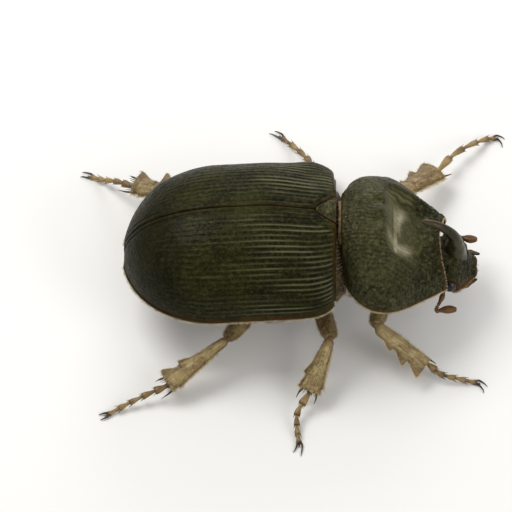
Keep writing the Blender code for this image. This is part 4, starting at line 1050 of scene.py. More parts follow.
# Feelers: a swollen first joint, a chain of beads and a club of three leaves.
FEELERS = {
    "right": (((15.35, -3.08, 4.6), (14.95, -4.1, 4.4), (14.5, -5.1, 4.25), (14.75, -5.4, 4.2)),
              ((14.95, -5.2, 4.2), (15.8, -5.1, 4.2), (16.7, -5.1, 4.2))),
    "left": (((16.25, 3.2, 4.75), (16.6, 3.8, 4.6), (16.95, 4.2, 4.42), (17.22, 4.3, 4.3)),
             ((17.42, 4.3, 4.2), (18.2, 4.15, 4.2), (19.0, 4.1, 4.2))),
}
for label, (stalk, club) in FEELERS.items():
    shape = Shape()
    inward = -1 if stalk[0][1] > 0 else 1
    socket = np.array(stalk[0]) + np.array((0.22 if inward > 0 else -0.05, 0.62 * inward, 0.30))
    hinge = np.array(stalk[0]) * 0.9 + np.array(stalk[1]) * 0.1
    rings = sweep([socket, (socket + hinge) / 2, hinge], lambda t: (0.25 - 0.11 * ease(t * 1.6)) * domed(t, 0.2, 0.1), 22, 24)
    ringed(shape, rings, edge=0.6)
    ball(shape, socket, (0.30, 0.26, 0.28), 16, np.eye(3), edge=0.5)
    rings = sweep(stalk, lambda t: (0.17 + 0.13 * np.exp(-((t - 0.2) / 0.13) ** 2)) * domed(t, 0.10, 0.2), 26, 44,
                  along=np.linspace(0, 0.42, 44))
    rings = rings + unit(rings - rings.mean(1, keepdims=True)) * (0.018 * noise(rings, 0.35, 87))[..., None]
    ringed(shape, rings, edge=0.3)
    for k in range(6):
        a = 0.42 + 0.095 * k
        centre = curve(stalk, [a + 0.045])[0]
        turn = np.eye(3)
        ahead = unit(curve(stalk, [min(1, a + 0.07)])[0] - curve(stalk, [a])[0])
        side_way = unit(np.cross(ahead, (0, 0, 1)))
        turn = np.array([ahead, side_way, np.cross(side_way, ahead)])
        ball(shape, centre, (0.15, 0.21 + 0.012 * k, 0.20), 12, turn, edge=0.25)
    make("feeler_joints_" + label, shape, FEELER, ["antenna_" + label])
    shape = Shape()
    for k, lift in enumerate((-0.24, 0.0, 0.24)):
        path = np.array(club) + np.array((0.0, 0.0, lift))
        rings = sweep(path, lambda t: (0.10 + 0.27 * np.sin(np.pi * clip(t * 0.94 + 0.03)) ** 1.1) * domed(t, 0.10, 0.14), 34, 50, 0.27)
        ringed(shape, rings + np.array((0, 0, 1)) * (0.02 * noise(rings, 0.3, 85 + k))[..., None], edge=0.25 * (k != 1))
    root = np.array(stalk[-1]) * 0.75 + np.array(stalk[-2]) * 0.25
    into = np.array(club[0]) * 0.8 + np.array(club[1]) * 0.2
    rings = sweep([root, (root + into) / 2, into], lambda t: (0.17 + 0.09 * ease(t * 1.4)) * domed(t, 0.15, 0.2), 24, 24)
    ringed(shape, rings, edge=0.35)
    make("feeler_club_" + label, shape, FEELER, ["antenna_club_" + label])


# --------------------------------------------------------------------- legs
class Bone:
    """The directions of one length of a limb."""

    def __init__(self, start, end):
        self.start, self.end = np.array(start, float), np.array(end, float)
        self.length = float(np.linalg.norm(self.end - self.start))
        self.along = unit(self.end - self.start)
        self.flat = unit(np.cross(self.along, (0, 0, 1)))
        self.thin = unit(np.cross(self.flat, self.along))

    def at(self, t, across=0.0, high=0.0):
        t, across, high = (np.asarray(q, float)[..., None] for q in np.broadcast_arrays(t, across, high))
        return self.start + self.along * (self.length * t) + self.flat * across + self.thin * high


LIMB_SURFACES = []          # grids that the hairs of the legs grow from


def femur(shape, name, bone, wide, side):
    n, m = 100, 56
    t = np.linspace(0.0, 1.0, n)[:, None]
    a = 2 * np.pi * (np.arange(m) + 0.5)[None, :] / m
    c, s = np.cos(a), np.sin(a)
    r = wide * (0.42 + 0.58 * np.sin(np.pi * clip(0.08 + 0.8 * t)) ** 0.8) * domed(t, 0.06, 0.07)
    h = (0.5 + 0.3 * np.sin(np.pi * t)) * domed(t, 0.06, 0.07)
    grid = bone.at(0.02 + (1 + 0.10 / bone.length - 0.02) * t, r * signed_power(c, 0.92), h * signed_power(s, 0.92))
    out = normals(grid, True)
    if ((grid - grid.mean(1, keepdims=True)) * out).sum() < 0:
        out = -out
    field = 0.035 * noise(grid, 1.6, 91) + 0.015 * noise(grid, 0.4, 92)
    groove = np.exp(-((a - 1.62 * np.pi) / 0.10) ** 2) * ease((t - 0.45) / 0.3)
    keel = np.exp(-((np.abs(c) - 1.0) / 0.05) ** 2)
    collar = np.exp(-((t - 0.93) / 0.018) ** 2)
    field += 0.05 * keel - 0.10 * groove - 0.06 * collar
    pits = np.zeros_like(field)
    rng = np.random.default_rng(int(abs(bone.start[0] * 100)) + 7)
    scatter_pits(pits, grid, rng, 420, 0.085, 0.040, 3)
    grid = grid + out * (field + pits)[..., None]
    edge = clip(0.95 * np.exp(-((np.abs(c) - 1.0) / 0.18) ** 2) + ease((t - 0.86) / 0.1) * 0.75 + 0.6 * ease((0.12 - t) / 0.1)
                + 0.5 * np.exp(-((a - 1.62 * np.pi) / 0.12) ** 2) * ease((t - 0.45) / 0.3))
    ringed(shape, grid, edge=edge * (0.75 + 0.25 * noise(grid, 0.7, 93)), deep=clip(-pits / 0.05),
           lie=t * bone.length * 0.42 + 0 * a, across=11 * c + 3 * s + 0 * t + bone.start[0])
    LIMB_SURFACES.append((name, "femur", grid, out, t * np.ones_like(a), a * np.ones_like(t)))


def teeth_line(t, teeth):
    """How far the toothed edge stands out at each place along a shin."""
    e = np.zeros_like(t)
    for start, tip, high in teeth:
        rise = clip((t - start) / (tip - start))
        fall = 1 - ease((t - tip) / 0.035)
        e = np.maximum(e, high * ease(rise) ** 0.9 * fall)
    return e


def tibia(shape, name, leg, bone, side, which, outer):
    n, m = 190, 64
    t = np.concatenate([np.linspace(0, 0.25, 30)[:-1], np.linspace(0.25, 1.0, n - 29)])[:, None]
    n = len(t)
    a = 2 * np.pi * (np.arange(m) + 0.5)[None, :] / m
    c, s = np.cos(a), np.sin(a)
    if which == "front":
        outside, inside = (0.75 + 0.6 * t, 0.85 + 0.4 * t) if side == LEFT else (0.9 + 0.5 * t, 0.75 - 0.15 * t)
        thick = 0.42 + 0.12 * t
        teeth = [(at - 0.12, back, leg["tooth"] * far - (0.75 + 0.6 * back if side == LEFT else 0.9 + 0.5 * back))
                 for at, far, back in ((0.33, 1.6, 0.38), (0.57, 2.2, 0.67), (0.82, 2.25, 0.95))]
        inner_teeth = []
        r_end = 1.1
    else:
        outside = 0.56 + (0.62 if which == "hind" else 0.56) * ease(t * 1.1)
        inside = 0.56 + (0.36 if which == "hind" else 0.5) * ease(t * 1.1)
        thick = 0.5 + 0.12 * t
        r_end = 1.0 if which == "middle" else 1.1
        tip = 0.64 if name == "hind_left" else 0.70
        teeth = [(tip - 0.2, tip, leg["tooth"] - r_end + 0.1), (0.78, 0.955, 0.25 if which == "middle" else 0.88 if side == LEFT else 0.72)]
        inner_teeth = [(0.70, 0.87, 0.24)]
    shut = domed(t, 0.05, 0.03)
    small = 0.62 + 0.38 * ease(t / 0.09)
    lift = teeth_line(t, teeth)
    lift_in = teeth_line(t, inner_teeth)
    wide_out, wide_in = outside * shut * small, inside * shut * small
    o = c * outer
    across = np.where(o > 0, wide_out * np.abs(c) ** 0.95 + lift * np.abs(c) ** 5,
                      -(wide_in * np.abs(c) ** 0.95 + lift_in * np.abs(c) ** 5)) * outer
    high = thick * shut * small * signed_power(s, 0.9) * (1 - 0.25 * np.abs(c) ** 3)
    begin = 0.02 / bone.length
    grid = bone.at(begin + (0.99 - begin) * t, across, high)
    out = normals(grid, True)
    if ((grid - grid.mean(1, keepdims=True)) * out).sum() < 0:
        out = -out
    field = 0.03 * noise(grid, 1.2, 95) + 0.014 * noise(grid, 0.35, 96)
    top = np.exp(-((a - 0.5 * np.pi) / 0.22) ** 2)
    field += 0.07 * top * ease((0.95 - t) / 0.1) * ease(t / 0.2)
    for at in (0.32 * np.pi, 0.70 * np.pi, 1.5 * np.pi):
        field -= 0.035 * np.exp(-((a - at) / 0.10) ** 2) * ease((t - 0.1) / 0.2) * ease((0.95 - t) / 0.1)
    carina = sum(np.exp(-((t - tip + 0.015) / 0.02) ** 2) for _, tip, _ in teeth[:2 if which != "front" else 0]) if which != "front" else 0.0
    field += 0.07 * carina * clip(s + 0.4)
    rim = np.exp(-((t - 0.965) / 0.02) ** 2)
    field += 0.05 * rim
    pits = np.zeros_like(field)
    rng = np.random.default_rng(int(abs(bone.start[1] * 100)) + 11)
    scatter_pits(pits, grid, rng, 420, 0.075, 0.038, 3)
    grid = grid + out * (field + pits)[..., None]
    tooth_dark = clip(np.where(o > 0, lift * np.abs(c) ** 5 / 0.5, lift_in * np.abs(c) ** 5 / 0.4))
    edge = clip(1.1 * tooth_dark + 0.9 * np.exp(-((np.abs(c) - 1.0) / 0.20) ** 2) + 0.6 * ease((0.1 - t) / 0.08)
                + 0.55 * rim + 0.35 * carina * clip(s + 0.4))
    ringed(shape, grid, edge=edge * (0.8 + 0.2 * noise(grid, 0.6, 97)), deep=clip(-pits / 0.05),
           lie=t * bone.length * 0.42 + 0 * a, across=11 * c + 3 * s + 0 * t + bone.start[1])
    LIMB_SURFACES.append((name, "tibia", grid, out, t * np.ones_like(a), a * np.ones_like(t)))
    claws = Shape()
    if which == "front":
        spine(claws, bone.at(0.93, -outer * (0.8 if side == LEFT else 0.45)), bone.at(1.13, -outer * (1.2 if side == LEFT else 0.65)), 0.17, 0.03,
              unit(bone.along) * 0.08 - bone.flat * outer * 0.06, edge=0.2)
    else:
        ends = ((outer, 1.17, 1.2), (-outer, 1.16, 0.9)) if which == "middle" else ((outer, 1.1, 1.35), (-outer, 1.17, 0.75))
        for way, far, reach in ends:
            spine(claws, bone.at(0.95, way * (r_end * 0.9 if way == outer else 0.72), -0.1), bone.at(far, way * reach, -0.06), 0.17, 0.025,
                  bone.flat * way * 0.08, edge=0.2)
        # a crown of stiff spines about the end of the shin, and combs by its teeth
        for k in range(11):
            q = math.pi * (0.06 + 0.88 * k / 10)
            w = r_end if math.cos(q) * outer > 0 else 0.85
            root = bone.at(0.965, math.cos(q) * w * 0.92, math.sin(q) * 0.52)
            tip = bone.at(1.035 + 0.02 * (k % 2), math.cos(q) * w * 1.02, math.sin(q) * 0.66)
            spine(claws, root, tip, 0.06, 0.018, count=5, sides=6, edge=0.3)
        for at in (0.68, 0.86):
            for k in range(5):
                q = math.pi * (0.16 + 0.34 * k / 4)
                w = r_end * 0.9
                spine(claws, bone.at(at, outer * math.cos(q) * w, math.sin(q) * 0.5),
                      bone.at(at + 0.05, outer * math.cos(q) * w * 1.12, math.sin(q) * 0.5 + 0.2), 0.05, 0.015, count=5, sides=6, edge=0.3)
    make("tibia_spurs_" + name, claws, CLAW, ())


def tarsus(name, leg, bone):
    path = [np.array(p) for p in leg["foot"]]
    ankle = np.array(leg["ankle"])
    path[0] = ankle + unit(path[1] - ankle) * 0.02
    shape, spikes, joints = Shape(), Shape(), []
    ball(shape, ankle - bone.along * 0.05, (0.30, 0.30, 0.28), 14, edge=0.7)
    rng = np.random.default_rng(len(name) * 7 + 3)
    for k in range(5):
        a, b = k / 5, (k + 1) / 5
        last = k == 4
        t = np.linspace(0, 1, 26)
        if last:
            size = 0.62 + 0.34 * ease((t - 0.45) / 0.55) + 0.10 * np.exp(-((t - 0.9) / 0.08) ** 2)
        else:
            size = 0.50 + 0.58 * ease(t / 0.88) ** 1.2
        size = size * domed(t, 0.16, 0.07) * (1.34, 1.12, 1.0, 1.0, 1.0)[k]
        rings = sweep(path, TARSUS_RADIUS, 28, len(t), 0.92, along=clip(a + (b - a) * (-0.13 + 1.15 * t)))
        middle = rings.mean(1, keepdims=True)
        rings = middle + (rings - middle) * size[:, None, None]
        out = unit(rings - middle)
        rings = rings + out * (0.018 * noise(rings, 0.35, 101 + k))[..., None]
        rings[..., 2] = np.maximum(rings[..., 2], 0.0)
        joints.append(rings)
        ringed(shape, rings, edge=clip(0.75 * ease((t - 0.75) / 0.2) + 0.5 * ease((0.15 - t) / 0.12))[:, None] * np.ones(28))
        if not last:
            # a fan of stiff spines at the end of each joint
            ahead = unit(curve(path, [min(1, b + 0.02)])[0] - curve(path, [b - 0.04])[0])
            across = unit(np.cross(ahead, (0, 0, 1)))
            up = np.cross(across, ahead)
            end = curve(path, [b - 0.02])[0]
            for q in (-0.15, 0.22, 0.78, 1.15, 1.35, 1.65):
                way = across * math.cos(math.pi * q) + up * math.sin(math.pi * q)
                root = end + way * TARSUS_RADIUS * 0.86
                tip = root + ahead * rng.uniform(0.34, 0.5) + way * rng.uniform(0.12, 0.22)
                spine(spikes, root, tip, 0.045, 0.012, count=5, sides=6, edge=0.2)
    grid = np.concatenate(joints)
    at = np.linspace(0, 1, len(grid))[:, None] * np.ones(28)
    LIMB_SURFACES.append((name, "tarsus", grid, unit(grid - grid.mean(1, keepdims=True)), at, (np.arange(28) + 0.5) * 2 * np.pi / 28 + 0 * at))
    make("tarsus_joints_" + name, shape, FOOT, ["tarsus_" + name], 70)
    tip = path[-1]
    ahead = unit(tip - curve(path, [0.93])[0])
    flat = unit(np.cross(ahead, (0, 0, 1)))
    toes = [np.array(t) for t in leg["toes"]]
    halfway = sum((t - tip) @ flat for t in toes) / 2
    claws = Shape()
    for toe in toes:
        turn = 1 if (toe - tip) @ flat > halfway else -1
        root = tip - ahead * 0.08 + flat * (turn * TARSUS_RADIUS * 0.45)
        bow = tip + ahead * 0.40 + flat * (turn * TARSUS_RADIUS * 0.95) + np.array((0, 0, 0.12))
        near = (bow + toe) / 2 + ahead * 0.14 + np.array((0, 0, 0.06))
        rings = sweep([root, bow, near, toe], lambda t: (0.145 - 0.125 * t ** 1.1) * domed(t, 0.05, 0.02), 18, 40, 0.85)
        rings[..., 2] = np.maximum(rings[..., 2], 0.0)
        ringed(claws, rings, edge=clip(np.linspace(-0.2, 0.9, 40))[:, None] * np.ones(18))
    # the little bristle-bearing rod between the claws
    spine(claws, tip - ahead * 0.05, tip + ahead * 0.42 - np.array((0, 0, 0.04)), 0.07, 0.05, edge=0.2)
    for turn in (-1, 1):
        spine(claws, tip + ahead * 0.40, tip + ahead * 0.62 + flat * turn * 0.14, 0.03, 0.012, count=5, sides=6)
    make("claws_" + name, claws, CLAW, ())
    make("tarsus_spines_" + name, spikes, CLAW, ())


COXAE = {"front": (1.2, 1.38, 1.0), "middle": (1.2, 1.5, 0.95), "hind": (1.3, 1.68, 0.9)}
for name, leg in LEGS.items():
    side = RIGHT if name.endswith("right") else LEFT
    which = name.split("_")[0]
    outer = 1 if which == "hind" else -side
    half = COXAE[which]
    middle = np.array(leg["hip"]) + np.array((0.15, -side * (half[1] + 0.12), 0))
    middle[2] = floor_of_body(middle[0], middle[1]) - 0.6 * half[2]
    u = np.linspace(-0.985, 0.985, 56)[:, None]
    a = 2 * np.pi * np.arange(60)[None, :] / 60
    r = np.sqrt(1 - u * u)
    grid = np.stack([middle[0] + half[0] * r * np.cos(a), middle[1] + half[1] * u + 0 * a,
                     middle[2] + half[2] * r * np.sin(a)], -1)
    out = unit((grid - middle) / np.array(half) ** 2)
    field = 0.05 * noise(grid, 0.9, 99) - 0.05 * np.exp(-((u - 0.55 * side) / 0.04) ** 2)
    pits = np.zeros(grid.shape[:2])
    scatter_pits(pits, grid, np.random.default_rng(77), 260, 0.08, 0.035, 3)
    grid = grid + out * (field + pits)[..., None]
    for i in range(grid.shape[0]):
        for j in range(grid.shape[1]):
            limit = floor_of_body(grid[i, j, 0], grid[i, j, 1])
            if limit is not None:
                grid[i, j, 2] = min(grid[i, j, 2], limit + 0.06)
    ringed(shape := Shape(), grid, deep=clip(-pits / 0.05), edge=0.8 * np.exp(-((u - 0.55 * side) / 0.05) ** 2) * np.ones_like(a))
    make("coxa_plate_" + name, shape, UNDER, ["coxa_" + name])
    upper, lower = Bone(leg["hip"], leg["knee"]), Bone(leg["knee"], leg["ankle"])
    shape = Shape()
    femur(shape, name, upper, {"front": 0.85, "middle": 0.95, "hind": 0.95}[which], side)
    turn = np.array([upper.along, upper.flat, upper.thin])
    ball(shape, upper.at(0.055, 0.0, -0.05), (0.62, 0.56, 0.50), 22, turn, edge=0.45)
    # the short joint between hip block and thigh
    root, into = middle + np.array((0.0, side * 0.30 * half[1], -0.10)), np.array(upper.at(0.12, 0.0, -0.02))
    bend = (root + into) / 2 + np.array((0.0, 0.0, -0.06))
    rings = sweep([root, bend, into], lambda t: (0.66 - 0.18 * t) * domed(t, 0.1, 0.1), 30, 30)
    ringed(shape, rings + unit(rings - rings.mean(1, keepdims=True)) * (0.03 * noise(rings, 0.5, 103))[..., None], edge=0.55)
    make("femur_" + name + "_shell", shape, LIMB, ["femur_" + name], 70)
    shape = Shape()
    tibia(shape, name, leg, lower, side, which, outer)
    make("tibia_" + name + "_shell", shape, LIMB, ["tibia_" + name], 70)
    shape = Shape()
    knee = np.array(leg["knee"])
    ball(shape, knee, (0.34, 0.33, 0.34), 20, turn, edge=0.75)
    ball(shape, knee - upper.along * 0.14 - upper.thin * 0.12, (0.42, 0.36, 0.36), 16, turn, edge=0.6)
    make("knee_joint_" + name, shape, FOOT, ())
    tarsus(name, leg, lower)


# -------------------------------------------------------------------- hairs
class Coat:
    """Tapered three-sided hairs, gathered in tufts that share one small place
    on the unwrapped shell they grow from."""

    LEVELS = 3

    def __init__(self, seed):
        self.rng = np.random.default_rng(seed)
        self.parts = []

    def grow(self, root, way, out, length, width, uv, each=4, spread=0.10, fan=0.28, sag=0.25):
        """Tufts at the roots. way is where they lie, out is away from the shell."""
        root, way, out, uv = (np.repeat(np.asarray(q, float), each, 0) for q in (root, way, out, uv))
        count = len(root)
        length = np.repeat(np.broadcast_to(length, count // each), each) * self.rng.uniform(0.65, 1.12, count)
        side = unit(np.cross(way, out))
        jitter = self.rng.normal(0, 1, (count, 3))
        root = root + (side * jitter[:, :1] + unit(way) * jitter[:, 1:2]) * spread * 0.5
        way = unit(unit(way) + side * (jitter[:, 2:] * fan) + out * self.rng.normal(0, fan * 0.5, (count, 1)))
        out = unit(out - way * (out * way).sum(-1, keepdims=True))
        side = np.cross(way, out)
        s = np.linspace(0, 1, self.LEVELS + 1)[None, :, None]
        bend = -out * sag + side * self.rng.normal(0, 0.12, (count, 1))
        spine_of = root[:, None] + (way[:, None] * s + bend[:, None] * s * s) * length[:, None, None]
        thick = (width * self.rng.uniform(0.75, 1.2, count))[:, None, None] * (1 - s[:, :-1] ** 1.4 * 0.86)
        turn = 2 * np.pi * np.arange(3) / 3
        ring = (side[:, None, None] * np.cos(turn)[None, None, :, None] + out[:, None, None] * np.sin(turn)[None, None, :, None])
        ringed_places = spine_of[:, :-1, None] + ring * thick[..., None]
        places = np.concatenate([ringed_places.reshape(count, -1, 3), spine_of[:, -1:]], 1)
        places[..., 2] = np.maximum(places[..., 2], 0.01)
        self.parts.append((places, uv))

    def built(self, name, material, slot):
        places = np.concatenate([p for p, _ in self.parts])
        uv = np.concatenate([u for _, u in self.parts])
        count, size = places.shape[:2]
        n = self.LEVELS
        quad, quad_uv, tri, tri_uv = [], [], [], []
        for k in range(n - 1):
            for j in range(3):
                i = (j + 1) % 3
                quad.append((3 * k + j, 3 * k + i, 3 * k + 3 + i, 3 * k + 3 + j))
                quad_uv.append(((j / 3, k / n), ((j + 1) / 3, k / n), ((j + 1) / 3, (k + 1) / n), (j / 3, (k + 1) / n)))
        for j in range(3):
            i = (j + 1) % 3
            tri.append((3 * (n - 1) + j, 3 * (n - 1) + i, size - 1))
            tri_uv.append(((j / 3, (n - 1) / n), ((j + 1) / 3, (n - 1) / n), ((j + 0.5) / 3, 1.0)))
        tri.append((2, 1, 0))
        tri_uv.append(((0.9, 0.0), (0.5, 0.12), (0.1, 0.0)))
        base = np.arange(count)[:, None, None] * size
        quads_all = (np.array(quad)[None] + base).reshape(-1, 4)
        tris_all = (np.array(tri)[None] + base).reshape(-1, 3)
        mesh = bpy.data.meshes.new(name)
        mesh.from_pydata(((places.reshape(-1, 3) + OFFSET) * MM).tolist(), [], quads_all.tolist() + tris_all.tolist())
        patch = 0.003
        loops_q = (uv[:, None, None] + (np.array(quad_uv)[None] - 0.5) * patch).reshape(-1, 2)
        loops_t = (uv[:, None, None] + (np.array(tri_uv)[None] - 0.5) * patch).reshape(-1, 2)
        layer = mesh.uv_layers.new(name="OFBake")
        layer.data.foreach_set("uv", np.concatenate([loops_q, loops_t]).astype(np.float32).reshape(-1))
        tone = np.concatenate([np.repeat(np.linspace(0, 1, n + 1)[:-1], 3), [1.0]])
        along = mesh.attributes.new("along", "FLOAT", "POINT")
        along.data.foreach_set("value", np.tile(tone, count).astype(np.float32))
        mesh.shade_smooth()
        mesh.materials.append(material)
        piece = bpy.data.objects.new(name, mesh)
        bpy.context.scene.collection.objects.link(piece)
        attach(piece, "root")
        return piece


def picks(grid, weight, count, rng):
    """Places on a grid, more of them where the weight is high."""
    w = clip(weight, 0, None).reshape(-1)
    k = rng.choice(len(w), count, p=w / w.sum())
    return np.unravel_index(k, weight.shape)


# Fringes and short hairs of the legs: one strip of the unwrap for each leg part.
leg_coats = {name: Coat(201 + 10 * k) for k, name in enumerate(LEGS)}
for name, part, grid, out, t, a in LIMB_SURFACES:
    side = RIGHT if name.endswith("right") else LEFT
    coat = leg_coats[name]
    rng = coat.rng
    c = np.cos(a)
    bone = Bone(grid[0].mean(0), grid[-1].mean(0))
    strip = {"femur": 0.0, "tibia": 1 / 3, "tarsus": 2 / 3}[part]

    def place(i, j):
        return np.stack([0.01 + 0.98 * t[i, j], strip + 0.02 + 0.29 * a[i, j] / (2 * np.pi)], -1)

    if part == "tarsus":
        i, j = picks(grid, ease((t * 5 % 1 - 0.05) / 0.2) + 0.05, 170, rng)
        coat.grow(grid[i, j] - out[i, j] * 0.02, unit(bone.along + 0.55 * out[i, j]), out[i, j], rng.uniform(0.14, 0.30, len(i)), 0.009,
                  place(i, j), 3, 0.04, 0.25, 0.1)
        continue

    edge = np.exp(-((np.abs(c) - 1) / 0.035) ** 2) * ease((t - 0.12) / 0.1) * ease((0.985 - t) / 0.02)
    i, j = picks(grid, edge, 420 if part == "tibia" else 260, rng)
    away = bone.flat * np.sign(c[i, j])[:, None]
    lean = bone.along * rng.uniform(0.35, 0.9, len(i))[:, None]
    smooth_side = np.sign(c[i, j]) * (1 if name.startswith("hind") else -side) < 0
    longest = np.where(smooth_side, 0.62, 0.40) if part == "tibia" else 0.36
    coat.grow(grid[i, j] - out[i, j] * 0.03, unit(away * 0.9 + lean), bone.thin * np.ones((len(i), 1)), longest * rng.uniform(0.45, 1.0, len(i)), 0.013,
              place(i, j), 3, 0.06, 0.30, 0.05)
    if part == "tibia":
        i, j = picks(grid, ease((t - 0.90) / 0.04) * ease((0.985 - t) / 0.01), 80, rng)
        coat.grow(grid[i, j] - out[i, j] * 0.03, unit(bone.along + 0.4 * out[i, j]), out[i, j], rng.uniform(0.30, 0.55, len(i)), 0.012,
                  place(i, j), 3, 0.06, 0.28, 0.08)
    # short hairs lying along the limb
    body = ease((t - 0.08) / 0.1) * ease((0.97 - t) / 0.03)
    i, j = picks(grid, body, 260, rng)
    coat.grow(grid[i, j] - out[i, j] * 0.02, unit(bone.along + 0.55 * out[i, j]), out[i, j], rng.uniform(0.16, 0.34, len(i)), 0.010,
              place(i, j), 2, 0.05, 0.3, 0.25)
for name, coat in leg_coats.items():
    coat.built("limb_hairs_" + name, GOLD, "limb")

# Golden line of hairs along the wing cases' sides and tip.
coat = Coat(202)
WIDEST = back_half_width(np.linspace(-15.0, 3.0, 200)).max()
for side in (RIGHT, LEFT):
    rng = coat.rng
    run = np.linspace(ELYTRA_TIP + 0.012, 3.4, 1500)
    length = np.concatenate([[0], np.cumsum(np.hypot(np.diff(run), np.diff(back_half_width(run))))])
    x = np.interp(rng.uniform(0.05, length[-1], 1300), length, run)
    w = back_half_width(x)
    slope = (back_half_width(x + 0.01) - back_half_width(x - 0.01)) / 0.02
    away = unit(np.stack([-slope, np.full_like(x, side), 0 * x], -1) * np.array((1, 1, 1)))
    away[:, 0] = np.abs(away[:, 0]) * np.sign(-slope)
    root = np.stack([x, side * (w - 0.05), margin_z(x) - rng.uniform(-0.02, 0.12, len(x))], -1)
    way = unit(away + np.array((-0.45, 0, -0.25)))
    uv = np.stack([0.02 + 0.96 * (x + 19) / 22.7, 0.5 + side * (0.42 * w / WIDEST + 0.03 * rng.uniform(0, 1, len(x)))], -1)
    coat.grow(root, way, np.tile((0.0, 0, 1), (len(x), 1)), rng.uniform(0.20, 0.42, len(x)), 0.011, uv, 3, 0.05, 0.3, 0.12)
coat.built("wing_case_fringe", PALE, "shell")

# Fringes of the pronotum: sides, rear margin and front margin.
coat = Coat(203)
rng = coat.rng
n, m = SHIELD_GRID.shape[:2]
along_x = (SHIELD_GRID[:, m // 2, 0] - 4.05) / 10.85
for side, column in ((RIGHT, -1), (LEFT, 0)):
    i = rng.integers(2, n - 2, 760)
    edge = SHIELD_GRID[:, column]
    tangent = unit(np.gradient(edge, axis=0))
    away = unit(np.cross(tangent, (0, 0, 1)))
    away *= np.sign(away[:, 1:2] * side)
    root = edge[i] + np.array((0, 0, -0.03))
    coat.grow(root - away[i] * 0.06, unit(away[i] + np.array((0.12, 0, -0.42))), np.tile((0.0, 0, 1), (len(i), 1)),
              rng.uniform(0.16, 0.34, len(i)), 0.011, np.stack([0.02 + 0.96 * along_x[i], 0.5 + side * 0.46 + 0 * i], -1), 3, 0.06, 0.3, 0.15)
for row, ahead, longest, many, low in ((1, -1, 0.42, 1000, 0.0), (n - 2, 1, 0.30, 200, -0.05)):
    j = rng.integers(6, m - 6, many)
    root = SHIELD_GRID[row, j] + np.array((0.10 * -ahead, 0, -0.06 + low))
    coat.grow(root, np.tile((float(ahead), 0, -0.12), (many, 1)), SHIELD_OUT[row, j], longest * rng.uniform(0.6, 1.0, many), 0.011,
              np.stack([np.full(many, 0.02 if ahead < 0 else 0.98), 0.04 + 0.92 * j / m], -1), 3, 0.07, 0.25, 0.10)
coat.built("pronotum_fringe", GOLD, "shield")

coat = Coat(206)
rng = coat.rng
out = unit(WAIST - WAIST.mean(1, keepdims=True))
show = ease((WAIST[..., 0] - 3.75) / 0.2) * ease((WAIST[..., 2] - 5.5) / 1.5)
i, j = picks(WAIST, show, 1100, rng)
uv = np.stack([0.03 + 0.94 * clip((WAIST[i, j, 0] - 3.72) / 1.03), 0.03 + 0.94 * j / WAIST.shape[1]], -1)
coat.grow(WAIST[i, j] - out[i, j] * 0.03, unit(out[i, j] + np.array((-0.55, 0, 0.0))), np.tile((0.0, 0, 1), (len(i), 1)),
          rng.uniform(0.22, 0.5, len(i)), 0.011, uv, 3, 0.08, 0.3, 0.1)
coat.built("waist_hairs", GOLD, "underside")

# Dense rust-brown hair of the breast, thinner rows on the belly plates.
coat = Coat(204)
rng = coat.rng


def lying(grid, weight, count, length, width, low, high, each=4, way=(-1, 0, -0.25), spread=0.14):
    out = normals(grid)
    if out[out.shape[0] // 2, out.shape[1] // 2, 2] > 0:
        out = -out
    i, j = picks(grid, weight, count, rng)
    lie = np.tile(np.array(way, float), (count, 1)) + out[i, j] * 0.35
    uv = np.stack([low + (high - low) * i / grid.shape[0], 0.03 + 0.94 * j / grid.shape[1]], -1)
    coat.grow(grid[i, j] - out[i, j] * 0.04, unit(lie), out[i, j], rng.uniform(0.6, 1.0, count) * length, width, uv, each, spread, 0.35, 0.2)


t = np.linspace(0, 1, STERNUM.shape[1])[None, :] * np.ones((STERNUM.shape[0], 1))
lying(STERNUM, 0.15 + ease((np.abs(t - 0.5) - 0.08) / 0.15) * ease((0.5 - np.abs(t - 0.5)) / 0.05), 900, 0.95, 0.020, 0.52, 0.98, way=(-0.7, 0, -0.5))
t = np.linspace(0, 1, chest.shape[1])[None, :] * np.ones((chest.shape[0], 1))
lying(chest, 0.06 + ease((np.abs(t - 0.5) - 0.12) / 0.12) * ease((0.47 - np.abs(t - 0.5)) / 0.05), 1100, 1.0, 0.020, 0.03, 0.49)
coat.built("breast_hairs", RUST, "underside")
coat = Coat(207)
rng = coat.rng
rows = np.exp(-((((-belly[..., 0] - 5.6) % 2.15) - 1.25) / 0.22) ** 2)
t = np.linspace(0, 1, belly.shape[1])[None, :] * np.ones((belly.shape[0], 1))
lying(belly, rows * (0.35 + ease((np.abs(t - 0.5) - 0.2) / 0.15)) + 0.25 * ease((-15 - belly[..., 0]) / 1.2), 760, 0.42, 0.016, 0.03, 0.97, 3)
coat.built("belly_hairs", RUST, "underside")

# Beard about the mouth, cheeks and chin.
coat = Coat(205)
rng = coat.rng
px, py, pz = HEAD_RINGS[..., 0], HEAD_RINGS[..., 1], HEAD_RINGS[..., 2]
out = unit(HEAD_RINGS - HEAD_RINGS.mean(1, keepdims=True))
below = ease((head_middle(px) - 0.15 - pz) / 0.5)
weight = below * (0.15 + ease((np.abs(py) - 0.7) / 0.6)) * ease((px - 15.7) / 0.5)
i, j = picks(HEAD_RINGS, weight, 620, rng)
uv = np.stack([0.03 + 0.94 * clip((HEAD_RINGS[i, j, 0] - 15.6) / 3.2), 0.03 + 0.94 * j / HEAD_RINGS.shape[1]], -1)
coat.grow(HEAD_RINGS[i, j] - out[i, j] * 0.04, unit(out[i, j] * 0.45 + np.array((0.75, 0, -0.15))), out[i, j],
          rng.uniform(0.3, 0.62, len(i)), 0.017, uv, 4, 0.09, 0.35, 0.15)
side_edge = np.exp(-((np.abs(py) - head_half_width(px)) / 0.12) ** 2) * ease((px - 16.9) / 0.4) * ease((18.7 - px) / 0.2)
i, j = picks(HEAD_RINGS, side_edge + 1e-6, 110, rng)
